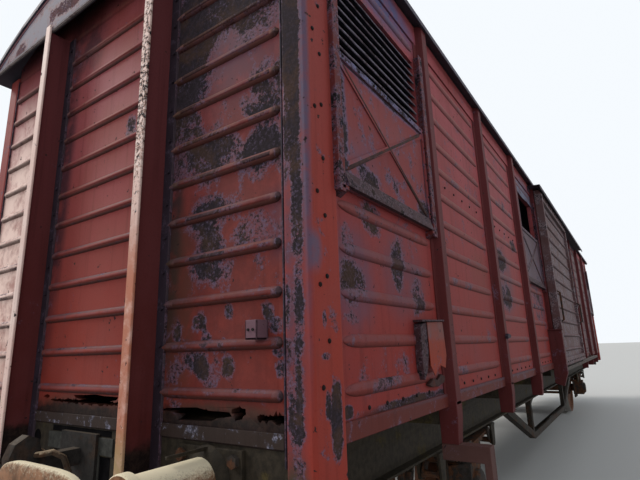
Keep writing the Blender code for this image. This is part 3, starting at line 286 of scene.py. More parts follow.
def spots(kind: type, axis: Axis, plane: float, deep: float, rows: tuple[tuple, ...]) -> tuple:
    """Spread patches or stains over a flat face.

    Args:
        kind: Patch or Stain.
        axis: Axis that the face lies across.
        plane: Where the face lies on it.
        deep: Reach along it.
        rows: Two coordinates and two reaches in the face, then the kind's own values.

    Returns:
        The patches or stains.
    """
    made = []
    for u, v, reach_u, reach_v, *rest in rows:
        centre, reach = [u, v], [reach_u, reach_v]
        centre.insert(axis.value, plane)
        reach.insert(axis.value, deep)
        made.append(kind(tuple(centre), tuple(reach), *rest))
    return tuple(made)


class Finish:
    """A finish that makes its material once."""

    name: str
    slot: str
    made: dict[str, bpy.types.Material] = {}

    def material(self) -> bpy.types.Material:
        """Make the material on first use and keep it.

        Returns:
            The material.
        """
        if self.name not in Finish.made:
            Finish.made[self.name] = self.paint()
        return Finish.made[self.name]

    def paint(self) -> bpy.types.Material:
        """Build the material."""
        raise NotImplementedError


@dataclass(frozen=True)
class PeelingPaint(Finish):
    """Old paint that fades, wears to its primer and peels down to dark steel."""

    name: str
    slot: str
    coat: int
    faded: int
    upper: int | None = None
    primer: int = 0x684A58
    under: int = 0x2E262B
    earth: int = 0x44322B
    flake: int = 0x685A72
    amount: float = 0.0
    grain: float = 6.5
    speckle: float = 0.40
    chips: float = 0.0
    streaks: float = 0.35
    gloss: float = 0.66
    seed: float = 0.0
    ridge: float = 0.0
    foot: float = 0.0
    patches: tuple[Patch, ...] = ()
    stains: tuple[Stain, ...] = ()

    def paint(self) -> bpy.types.Material:
        """Build the material.

        Returns:
            The material.
        """
        g = Graph(self.name)
        z = g.split()[2]
        coat, under = seen(self.coat), seen(self.under)
        at = g.moved(shift=(self.seed, 2.3 * self.seed, 0.7 * self.seed))
        grit, crumb = g.noise(120.0, 3.0, 0.70, at=at), g.noise(34.0, 7.0, 0.78, 0.5, at)
        bare = g.plus(g.noise(1.7, 3.0, at=at), 0.16, self.amount - 0.08 - self.speckle * 0.75)
        for patch in self.patches:
            bare = g.plus(g.near(patch), patch.strength, bare)
        bare = g.math("ADD", g.noise(self.grain, 10.0, 0.66, 0.4, at), bare)
        bare = g.plus(grit, self.speckle * 0.5, g.plus(crumb, self.speckle, bare))
        chip = g.step(g.noise(27.0, 5.0, 0.55, 0.2, at), 0.690 - self.chips, 0.702 - self.chips)
        bald = g.math("MAXIMUM", g.step(bare, 0.640, 0.652), chip)
        colour = coat
        if self.upper is not None:
            colour = g.mix(g.step(z, SILL + 0.2, SILL + 2.0), coat, seen(self.upper))
        bleached = g.step(g.noise(2.6, 6.0, 0.62, 0.1, at), 0.34, 0.72)
        colour = g.mix(g.by(bleached, 0.8), colour, seen(self.faded))
        colour = g.mix(g.by(g.step(grit, 0.52, 0.68), 0.22), colour, times(coat, 0.5))
        run = g.noise(1.0, 5.0, 0.6, 0.0, g.moved((26, 26, 1.1), (self.seed, 0, 0)))
        colour = g.mix(g.by(g.step(run, 0.50, 0.74), self.streaks), colour, times(coat, 0.42))
        for stain in self.stains:
            share = g.step(g.noise(9.0, 6.0, 0.65, 0.2, at), 0.28, 0.58, stain.share * 0.35, stain.share)
            colour = g.mix(g.by(g.near(stain), share), colour, seen(stain.colour))
        colour = g.mix(g.by(g.step(bare, 0.500, 0.600), 0.72), colour, seen(self.primer))
        steel = g.mix(g.step(g.noise(5.0, 7.0, 0.7, 0.3, at), 0.44, 0.60), under, seen(self.earth))
        steel = g.mix(g.by(g.step(crumb, 0.50, 0.66), 0.55), steel, times(under, 0.42))
        colour = g.mix(bald, colour, steel)
        halo = g.by(g.step(bare, 0.500, 0.590), g.step(bare, 0.655, 0.780, 1.0, 0.15))
        fleck = g.noise(78.0, 3.0, 0.65, 0.3, at)
        colour = g.mix(g.by(halo, g.step(fleck, 0.525, 0.580, 0.0, 0.65)), colour, seen(self.flake))
        colour = g.mix(g.by(halo, g.step(fleck, 0.400, 0.450, 0.85, 0.0)), colour, times(under, 0.6))
        if self.ridge:
            colour = self.ridge_wear_and_shading(g, z, colour)
        if self.foot:
            ragged = g.plus(g.noise(9.0, 6.0, 0.65), 0.14, z)
            low = g.step(ragged, self.foot + 0.045, self.foot + 0.10, 1.0, 0.0)
            rust = g.mix(g.step(crumb, 0.42, 0.60), seen(0x0E0C0C), seen(0x2A201B))
            colour = g.mix(g.by(low, 0.95), colour, rust)
        # Painted shade: surfaces that face down are darkened towards a dark copy of the coat.
        down = g.step(g.facing(), -0.75, -0.12, 1.0, 0.0)
        colour = g.mix(g.by(down, 0.62), colour, times(coat, 0.22))
        g.surface(colour, g.step(bald, 0.0, 1.0, self.gloss, 0.92), 0.16)
        lift = g.plus(bald, -0.7, g.by(grit, 0.30))
        g.bump(g.plus(g.noise(7.0, 3.0), 0.5, lift), 0.75, 0.0018)
        return g.material

    def ridge_wear_and_shading(self, g: Graph, z: Socket, colour: Socket) -> Socket:
        """Wear the crests of the pressed ridges and paint a highlight on them, and paint shade on their
        undersides.

        Args:
            g: The tree.
            z: Height of the place.
            colour: Colour of the paint.

        Returns:
            The worn colour.
        """
        turn = g.math("DIVIDE", g.math("SUBTRACT", z, SILL + SWAGE_FIRST - 0.5 * SWAGE_PITCH), SWAGE_PITCH)
        away = g.by(g.math("SUBTRACT", g.math("FRACT", turn), 0.5), SWAGE_PITCH)
        rub = g.step(g.noise(14.0, 5.0, 0.65), 0.30, 0.60)
        # Partly worn paint and partly painted highlight: the crests are lightened, broken up by the rubbed
        # pattern.
        crest = g.by(g.step(away, -0.008, 0.002), g.step(away, 0.016, 0.026, 1.0, 0.0))
        tint = g.mix(g.step(z, SILL + 0.7, SILL + 1.4), seen(0x70545C), seen(0x845C4E))
        colour = g.mix(g.by(g.by(crest, rub), 0.62 * self.ridge), colour, tint)
        # Painted shade: a ragged band under each crest is darkened towards a dark copy of the coat.
        saw = g.plus(g.noise(55.0, 4.0, 0.6), 0.022, away)
        under = g.by(g.step(saw, -0.016, -0.010), g.step(saw, 0.001, 0.009, 1.0, 0.0))
        return g.mix(g.by(under, 0.62 * self.ridge), colour, times(seen(self.coat), 0.20))


@dataclass(frozen=True)
class GrimySteel(Finish):
    """Steel under old grime: dark, with rust coming through and paler where it faces up, from settled dirt
    and on the buffers also from painted sunlight.
    """

    name: str
    slot: str
    coat: int
    rust: int
    dust_and_sunlight: int | None = None
    rusty: float = 0.5
    gloss: float = 0.75
    grain: float = 12.0

    def paint(self) -> bpy.types.Material:
        """Build the material.

        Returns:
            The material.
        """
        g = Graph(self.name)
        coat, rust = seen(self.coat), seen(self.rust)
        cloud, grit = g.noise(self.grain, 8.0, 0.68, 0.3), g.noise(130.0, 3.0, 0.7)
        share = g.plus(g.noise(2.1, 3.0), 0.3, cloud)
        share = g.step(share, 0.78 - 0.26 * self.rusty, 0.92 - 0.26 * self.rusty)
        dark = g.mix(g.step(g.noise(33.0, 5.0, 0.6), 0.35, 0.7), coat, times(coat, 0.45))
        glow = g.mix(g.step(g.noise(60.0, 4.0, 0.6), 0.4, 0.7), rust, times(rust, 0.5))
        run = g.step(g.noise(1.0, 5.0, 0.6, 0.0, g.moved((20, 20, 1.6))), 0.50, 0.72)
        colour = g.mix(g.by(run, 0.5), g.mix(share, dark, glow), times(coat, 0.3))
        colour = g.mix(g.by(g.step(grit, 0.52, 0.66), 0.4), colour, times(coat, 0.25))
        # Paler where it faces up: settled dirt, and on the buffers also painted sunlight on their tops.
        if self.dust_and_sunlight is not None:
            up = g.plus(g.math("SUBTRACT", grit, 0.5), 0.9, g.facing())
            colour = g.mix(g.by(g.step(up, 0.25, 0.85), 0.85), colour, seen(self.dust_and_sunlight))
        g.surface(colour, g.step(share, 0.0, 1.0, self.gloss, 0.93), 0.2)
        g.bump(g.plus(grit, 0.5, g.by(cloud, 0.6)), 0.6, 0.0022)
        return g.material


@dataclass(frozen=True)
class PlankWood(Finish):
    """Weathered boards laid across the wagon."""

    name: str
    slot: str
    light: int
    dark: int
    width: float = 0.18

    def paint(self) -> bpy.types.Material:
        """Build the material.

        Returns:
            The material.
        """
        g = Graph(self.name)
        board = g.math("FRACT", g.math("DIVIDE", g.split()[0], self.width))
        joint = g.math("ADD", g.step(board, 0.0, 0.035, 1.0, 0.0), g.step(board, 0.965, 1.0), clamp=True)
        tone = g.noise(1.0, 0.0, at=g.moved((5.6, 0.02, 0.02)))
        fibre = g.noise(1.0, 6.0, 0.6, 0.3, g.moved((90, 2.4, 90)))
        colour = g.mix(g.step(tone, 0.3, 0.7), seen(self.light), seen(self.dark))
        colour = g.mix(g.by(g.step(fibre, 0.4, 0.7), 0.6), colour, times(seen(self.dark), 0.4))
        g.surface(g.mix(joint, colour, (0.008, 0.006, 0.005)), 0.85, 0.3)
        g.bump(g.plus(joint, -2.0, fibre), 0.5, 0.002)
        return g.material


@dataclass(frozen=True)
class WheelSteel(Finish):
    """Rusty wheel with a tread that running keeps bright."""

    name: str
    slot: str
    rust: int
    bright: int
    tread: float = 0.488

    def paint(self) -> bpy.types.Material:
        """Build the material.

        Returns:
            The material.
        """
        g = Graph(self.name)
        x, _, z = g.split()
        across = g.math("SUBTRACT", g.math("ABSOLUTE", x), AXLE_X)
        up = g.math("SUBTRACT", z, AXLE_Z)
        radius = g.math("SQRT", g.plus(across, across, g.by(up, up)))
        worn = g.step(g.plus(g.noise(30.0), 0.008, radius), self.tread + 0.004, self.tread + 0.008)
        rust = seen(self.rust)
        rust = g.mix(g.step(g.noise(14.0, 8.0, 0.68), 0.35, 0.7), rust, times(rust, 0.42))
        g.surface(g.mix(worn, rust, seen(self.bright)), g.step(worn, 0.0, 1.0, 0.85, 0.34))
        g.put(g.shader.inputs["Metallic"], g.by(worn, 0.85))
        g.bump(g.noise(60.0, 5.0), 0.35, 0.0015)
        return g.material


@dataclass(frozen=True)
class Shade(Finish):
    """Unlit dark of a deep opening."""

    name: str
    slot: str

    def paint(self) -> bpy.types.Material:
        """Build the material.

        Returns:
            The material.
        """
        g = Graph(self.name)
        g.surface(g.mix(g.step(g.noise(18.0, 4.0), 0.4, 0.7), seen(0x080709), seen(0x141214)), 0.95, 0.05)
        g.bump(g.noise(60.0, 3.0), 0.3, 0.001)
        return g.material


END_PAINT = PeelingPaint(
    "end_paint", "body_red", 0x8C3226, 0x883E38, upper=0x944C52, amount=-0.06, ridge=0.55, foot=SILL + 0.100,
    patches=spots(Patch, Axis.X, 6.39, 0.6, ((0.98, 3.25, 0.62, 0.62, 0.31), (0.66, 2.78, 0.24, 0.58, 0.29),
    (1.16, 2.55, 0.2, 0.22, 0.26), (1.14, 2.28, 0.2, 0.16, 0.22), (0.84, 2.34, 0.26, 0.16, 0.22),
    (0.82, 2.08, 0.16, 0.14, 0.24), (0.83, 1.9, 0.14, 0.16, 0.24), (1.12, 1.98, 0.2, 0.12, 0.1),
    (0.22, 2.68, 0.08, 0.12, 0.26))) + (Patch((6.39, 0.0, 2.2), (0.3, 0.56, 1.8), -0.1),
    Patch((6.39, -1.0, 2.2), (0.3, 0.5, 1.6), -0.12),) + spots(Patch, Axis.X, 6.39, 0.6,
    ((0.79, 1.64, 0.06325, 0.0575, 0.27), (0.83, 1.58, 0.04025, 0.0575, 0.27),
    (0.955, 1.675, 0.0345, 0.046, 0.27), (1.155, 1.665, 0.046, 0.05175, 0.27),
    (0.775, 1.495, 0.07475, 0.0575, 0.27), (0.81, 1.46, 0.05175, 0.0575, 0.27),
    (0.955, 1.47, 0.046, 0.069, 0.27), (0.93, 1.555, 0.02875, 0.046, 0.27), (1.2, 1.52, 0.046, 0.02875, 0.27),
    (1.205, 1.465, 0.04025, 0.05175, 0.27), (1.205, 1.61, 0.06325, 0.05175, 0.27),
    (0.66, 1.6, 0.0345, 0.046, 0.27))), stains=spots(Stain, Axis.X, 6.39, 0.3,
    # Painted shade: the first stain below darkens the right-hand field, as if the stanchion's shade lay over
    # it.
    ((0.95, 2.3, 0.55, 1.9, 0x5C2826, 0.75), (0.95, 3.1, 0.5, 0.7, 0x644856, 0.75),
    (0.6, 2.4, 0.09, 1.5, 0x2E282A, 0.85), (0.66, 1.7, 0.14, 0.6, 0x3C3428, 0.5),
    # Partly dirt and partly painted shade: the first stain below darkens the middle field beside the left
    # stanchion.
    (-0.45, 2.6, 0.14, 1.5, 0x2E1E28, 0.85), (-0.3, 3.4, 0.3, 0.28, 0x38222A, 0.8),
    # Painted sunlight: the first stain below paints the far field pale, as if the sun fell on it.
    (-1.0, 2.2, 0.4, 1.3, 0xFFE2D6, 0.85), (0.0, 1.3, 0.6, 0.07, 0x463226, 0.8),
    (0.93, 1.3, 0.46, 0.06, 0x3E322A, 0.8), (1.22, 1.98, 0.16, 0.2, 0x683E4A, 0.6))))
CORNER_PAINT = PeelingPaint(
    "corner_paint", "body_red", 0x96362A, 0x8C3C36, upper=0x8E403E, amount=-0.085, grain=9.0, chips=0.015,
    seed=7.7, patches=spots(Patch, Axis.X, 6.42, 0.12, ((1.25, 3.0, 0.06, 0.95, 0.3),
    (1.29, 3.0, 0.06, 0.95, 0.3), (1.3, 2.2, 0.036, 1.5, 0.3), (1.262, 2.1, 0.03, 0.6, 0.16),
    (1.275, 1.35, 0.04, 0.28, 0.24), (1.245, 1.62, 0.022, 0.3, 0.18))) +
    (Patch((6.275, 1.35, 1.29), (0.052, 0.2, 0.175), 0.45),
    Patch((6.325, 1.35, 1.34), (0.024, 0.2, 0.07), 0.3),) + spots(Patch, Axis.Y, 1.35, 0.1,
    ((6.335, 1.85, 0.07, 0.05, 0.12), (6.33, 1.62, 0.02, 0.05, 0.24), (6.32, 1.5, 0.06, 0.02, 0.24))),
    stains=(Stain((6.405, 1.27, 2.5), (0.03, 0.1, 2.2), 0x5E3E4C, 0.95),
    Stain((6.405, 1.343, 2.8), (0.04, 0.028, 1.6), 0x54546C, 0.85),
    Stain((6.375, 1.353, 1.86), (0.06, 0.02, 0.1), 0x54546C, 0.8),
    Stain((6.405, 1.27, 1.02), (0.03, 0.1, 0.24), 0x3E3C2E, 0.95),))
SIDE_PAINT = PeelingPaint(
    "side_paint", "body_red", 0x8A302A, 0x843A3A, upper=0x9E4C52, amount=-0.085, grain=5.0, seed=3.1,
    ridge=0.35, foot=SILL + 0.035, patches=spots(Patch, Axis.Y, 1.33, 0.3, ((6.09, 1.77, 0.16, 0.16, 0.24),
    (6.11, 1.96, 0.1, 0.09, 0.2), (5.66, 1.9, 0.11, 0.2, 0.28), (5.42, 1.77, 0.13, 0.16, 0.24),
    (5.9, 2.08, 0.16, 0.1, 0.18), (6.12, 1.63, 0.12, 0.04, 0.22), (5.75, 1.45, 0.2, 0.12, 0.12),
    (5.6, 1.283, 0.62, 0.03, 0.3), (6.17, 1.3, 0.06, 0.035, 0.45), (5.17, 1.31, 0.16, 0.07, 0.22),
    (3.45, 2.23, 0.24, 0.14, 0.32), (3.4, 1.92, 0.28, 0.2, 0.32), (3.7, 1.95, 0.14, 0.12, 0.24),
    (2.87, 2.45, 0.18, 0.1, 0.26), (3.2, 2.82, 0.3, 0.1, 0.12), (1.8, 1.95, 0.5, 0.3, 0.14))),
    stains=spots(Stain, Axis.Y, 1.33, 0.3, ((5.7, 3.4, 0.7, 0.19, 0x54567C, 0.98),
    (6.08, 1.8, 0.24, 0.3, 0x5C485C, 0.65), (5.6, 1.86, 0.34, 0.3, 0x584252, 0.55))) +
    (Stain((5.6, 1.34, 1.272), (0.64, 0.3, 0.035), 0x1C1818, 0.98),) + spots(Stain, Axis.Y, 1.33, 0.3,
    ((4.2, 2.04, 0.3, 0.22, 0x783E34, 0.5), (3.4, 2.05, 0.45, 0.42, 0x564652, 0.6),
    (1.8, 3.36, 0.6, 0.16, 0x605468, 0.9))))
FAR_PAINT = PeelingPaint(
    "far_paint", "body_red", 0x603E3E, 0x76585A, primer=0x74646A, under=0x2A2224, flake=0xA08E90,
    amount=0.015, grain=7.0, streaks=0.6, seed=1.9, ridge=0.3)
# Partly dirt and partly painted shade: the posts are painted a darker red than the sheets.
SHADED_POST_PAINT = PeelingPaint(
    "shaded_post_paint", "body_red", 0x562222, 0x622C2E, upper=0x5C282C, amount=-0.12, grain=9.0, seed=4.7)
# Painted shade: the stanchion webs are painted a darker red than the sheets, as flanks that lie in shade.
SHADED_STANCHION_PAINT = PeelingPaint(
    "shaded_stanchion_paint", "body_worn", 0x5C2624, 0x683436, upper=0x6C383C, amount=-0.17, grain=10.0, seed=11.3,
    foot=SILL - 0.02)
BASE_PAINT = PeelingPaint(
    "base_paint", "body_worn", 0x2C222A, 0x382E3A, primer=0x423642, flake=0x504658, amount=-0.04, grain=10.0,
    seed=10.3)
# Painted highlight: the narrow rims along the base plates' edges are painted lighter than the bases, as edges
# that catch the light.
EDGE_HIGHLIGHT_PAINT = PeelingPaint("edge_highlight_paint", "body_worn", 0x463A42, 0x544850, amount=0.0, grain=14.0, seed=10.9)
# Painted sunlight: the flange fronts are painted pale pink, as if a low sun fell on them.
SUNLIT_FLANGE_PAINT = PeelingPaint(
    "sunlit_flange_paint", "body_worn", 0xF0CEC4, 0xFFECE4, primer=0xB08270, under=0x362C30, earth=0x46322E,
    amount=-0.1, grain=48.0, speckle=0.3, chips=0.01, seed=12.9, flake=0xFFF0EC,
    patches=(Patch((6.53, 0.522, 2.8), (0.3, 0.08, 0.8), 0.21),),
    stains=(Stain((6.53, 0.5, 1.5), (0.2, 1.2, 0.85), 0xBA7258, 0.95),
    Stain((6.53, 0.5, 1.0), (0.2, 1.2, 0.3), 0xAA966A, 0.85),))
SHUTTER_PAINT = PeelingPaint(
    "shutter_paint", "body_worn", 0x843838, 0x7C4246, primer=0x645268, amount=-0.03, grain=9.0, seed=5.2,
    patches=spots(Patch, Axis.Y, 1.36, 0.2, ((6.15, 2.45, 0.06, 0.4, 0.24), (5.7, 2.76, 0.6, 0.045, 0.26),
    (5.95, 2.25, 0.2, 0.09, 0.18), (5.28, 2.25, 0.16, 0.1, 0.2))), stains=spots(Stain, Axis.Y, 1.36, 0.2,
    ((6.145, 2.45, 0.055, 0.4, 0x58587A, 0.95), (5.7, 2.758, 0.62, 0.05, 0x6C729E, 0.98),
    (5.98, 2.3, 0.2, 0.2, 0x704858, 0.6))))
BORDER_PAINT = PeelingPaint(
    "border_paint", "body_worn", 0x7A3638, 0x6C424C, primer=0x5C4E62, flake=0x7E82A8, amount=-0.02,
    grain=14.0, speckle=0.5, seed=5.9, patches=spots(Patch, Axis.Y, 1.36, 0.2,
    ((6.155, 2.45, 0.1, 0.42, 0.14), (5.75, 2.76, 0.55, 0.07, 0.16), (5.65, 2.2, 0.6, 0.08, 0.14))),
    stains=(Stain((6.155, 1.36, 2.45), (0.1, 0.2, 0.42), 0x60546C, 0.9),
    Stain((5.75, 1.36, 2.76), (0.6, 0.2, 0.07), 0x686E96, 0.95),))
FAR_SHUTTER_PAINT = PeelingPaint(
    "far_shutter_paint", "body_worn", 0x604C54, 0x6C5860, primer=0x685C6C, amount=-0.01, grain=9.0, seed=6.4)
CREASE_PAINT = GrimySteel("crease_rust", "body_worn", 0x462C2A, 0x6E382C, rusty=0.4)
GUIDE_PAINT = PeelingPaint(
    "guide_paint", "body_worn", 0x702E2C, 0x502828, amount=0.07, grain=16.0, speckle=0.6, seed=5.7,
    under=0x1A181C, earth=0x2C221E)
LEDGE_PAINT = PeelingPaint(
    "ledge_paint", "body_worn", 0x40282C, 0x4E343A, primer=0x4A363E, amount=0.06, grain=18.0, speckle=0.6,
    seed=6.8, under=0x221E20, earth=0x3C2C26, flake=0x6A5864)
SLAT_PAINT = PeelingPaint(
    "slat_paint", "body_red", 0x48485A, 0x505062, primer=0x3E3A46, under=0x121218, amount=-0.02, seed=2.9)
SLAT_LIP = PeelingPaint(
    "slat_lip", "body_red", 0x9E96A8, 0x82747C, primer=0x6E5450, under=0x32282A, amount=0.02, grain=9.0,
    speckle=0.4, seed=2.1)
DOOR_PAINT = PeelingPaint(
    "door_paint", "body_worn", 0x5A3C3C, 0x70585A, primer=0x6E6068, under=0x282024, flake=0xA6969A,
    amount=0.02, grain=7.0, speckle=0.4, streaks=0.6, seed=1.4)
DOOR_FRAME_PAINT = PeelingPaint("door_frame_paint", "body_worn", 0x542424, 0x603032, amount=-0.04, seed=8.4)
HOOD_PAINT = PeelingPaint("hood_paint", "body_red", 0x302A34, 0x403842, amount=0.0, seed=9.1)
TRACK_PAINT = GrimySteel("track_grime", "body_red", 0x605854, 0x604638, dust_and_sunlight=0x847A74, rusty=0.5)
ROOF_PAINT = PeelingPaint(
    "roof_paint", "roof_grey", 0x524C58, 0x625C66, primer=0x5C484E, under=0x3A343A, amount=-0.02, grain=2.2,
    seed=2.2)
FASCIA_PAINT = PeelingPaint(
    "fascia_paint", "roof_grey", 0x5A5266, 0x666072, primer=0x764246, under=0x46282E, earth=0x603438,
    amount=0.01, grain=5.0, seed=6.6, patches=(Patch((6.52, -0.3, 3.66), (0.3, 0.35, 0.1), 0.22),
    Patch((6.52, -0.95, 3.58), (0.3, 0.1, 0.1), 0.14),))
RIM_PAINT = PeelingPaint("rim_paint", "roof_grey", 0x3A3A4C, 0x464658, primer=0x50404A, amount=-0.02,
                         seed=6.9)
BAND_PAINT = PeelingPaint("band_paint", "roof_grey", 0x704248, 0x7C545A, amount=-0.02, seed=7.1)
# Painted sunlight: the fascia's lower lip is painted pale, as if the sun fell along it.
SUNLIT_LIP_PAINT = PeelingPaint(
    "sunlit_lip_paint", "roof_grey", 0xC4B8B8, 0xD6CECE, primer=0x8C6868, amount=-0.01, grain=9.0, seed=6.1)
SOCKET_PAINT = PeelingPaint("socket_paint", "body_red", 0x70525C, 0x7A5C68, amount=-0.01, seed=4.4)
CARD_PAINT = PeelingPaint(
    "card_paint", "body_red", 0x923A2A, 0x804238, amount=-0.05, grain=14.0, seed=8.8,
    stains=(Stain((5.3, 1.37, 1.6), (0.3, 0.2, 0.07), 0x705454, 0.9),))
FRAME = GrimySteel("frame_grime", "frame_dark", 0x38322C, 0x50382A)
HEADSTOCK = GrimySteel("headstock_grime", "frame_dark", 0x383026, 0x4C4228, rusty=0.35, grain=6.0)
GEAR = GrimySteel("gear_grime", "running_gear", 0x3A3430, 0x62402C, rusty=0.8)
COUPLING = GrimySteel("coupling_grime", "running_gear", 0x322E2C, 0x40322A, dust_and_sunlight=0x544A40, rusty=0.5)
BOW = GrimySteel("bow_grime", "running_gear", 0x54463A, 0x5C402E, dust_and_sunlight=0xD6BE9E, rusty=0.5)
# Painted sunlight: the near-white colour on upward faces lights the casings' tops as if the sun fell on them.
BUFFER = GrimySteel("buffer_rust", "buffer_rust", 0x966C50, 0x784E38, dust_and_sunlight=0xFFF4D4, rusty=0.45, grain=7.0)
BOLT_DARK = GrimySteel("bolt_dark", "body_red", 0x1C1618, 0x301E1C, rusty=0.4)
DARK = Shade("deep_dark", "frame_dark")
PLANKS = PlankWood("floor_planks", "floor_wood", 0x806C58, 0x58483A)
WHEEL = WheelSteel("wheel_steel", "wheel_steel", 0x70442A, 0xAAA6A0)
END_RIDGE_PAINT = PeelingPaint(
    "end_ridge_paint", "body_red", 0x703630, 0x784642, upper=0x84544E, amount=-0.02, grain=12.0, seed=3.3,
    # Painted shade: the first patch below bares dark steel at the ridges' ends against the corner post.
    ridge=0.8, patches=(Patch((6.4, 1.224, 2.4), (0.3, 0.032, 1.8), 0.5),
    Patch((6.39, 0.98, 3.25), (0.6, 0.62, 0.62), 0.12),), stains=spots(Stain, Axis.X, 6.4, 0.3,
    # Partly dirt and partly painted shade: the second stain below darkens the ridges beside the left
    # stanchion.
    ((0.62, 2.4, 0.14, 1.6, 0x42382E, 0.9), (-0.42, 2.8, 0.12, 1.3, 0x3C2C32, 0.8),
    # Painted shade: the second stain below darkens the ridges' ends against the corner post.
    (0.42, 2.4, 0.08, 1.5, 0x463632, 0.7), (1.215, 2.4, 0.045, 1.7, 0x261A1C, 0.95),
    # Painted sunlight: the stain below paints the far field pale, as if the sun fell on it.
    (-1.0, 2.2, 0.4, 1.3, 0xFFE2D6, 0.85))))
RIDGE_PAINT = PeelingPaint(
    "side_ridge_paint", "body_red", 0x80342E, 0x804242, upper=0x945254, primer=0x685260, amount=-0.05,
    grain=6.0, seed=3.9, ridge=0.5, patches=SIDE_PAINT.patches, stains=SIDE_PAINT.stains)
FAR_RIDGE_PAINT = PeelingPaint(
    "far_ridge_paint", "body_red", 0x543030, 0x644242, amount=0.01, grain=8.0, seed=3.7, ridge=0.4)
DOOR_RIDGE_PAINT = PeelingPaint(
    "door_ridge_paint", "body_worn", 0x502A2A, 0x623A3A, amount=0.01, grain=8.0, seed=1.7)
FLAP_PAINT = PeelingPaint(
    "flap_paint", "body_red", 0x68687C, 0x747488, primer=0x60464E, amount=0.02, grain=9.0, speckle=0.4,
    seed=2.7)
STEP_PAINT = PeelingPaint("step_paint", "body_red", 0x543834, 0x624440, amount=-0.14, grain=10.0, seed=9.7)
SILL_PAINT = PeelingPaint(
    "sill_paint", "body_red", 0x622A24, 0x5C302E, amount=-0.04, grain=12.0, speckle=0.4, seed=9.3,
    stains=(Stain((3.6, 1.34, 1.262), (3.0, 0.1, 0.016), 0x544652, 0.7),))
STRIP_PAINT = PeelingPaint(
    "strip_paint", "frame_dark", 0x342824, 0x403430, primer=0x6E6E80, under=0x242226, earth=0x3C342E,
    flake=0xA09CB0, amount=-0.06, grain=9.0, speckle=0.45, seed=9.9)
BAR_PAINT = GrimySteel("bar_grime", "frame_dark", 0x42413D, 0x423A30, rusty=0.3)


def added(name: str, data: bpy.types.ID) -> bpy.types.Object:
    """Put a mesh, light or camera into the scene.

    Args:
        name: Name of the object.
        data: What it shows.

    Returns:
        The object.
    """
    obj = bpy.data.objects.new(name, data)
    bpy.context.scene.collection.objects.link(obj)
    return obj


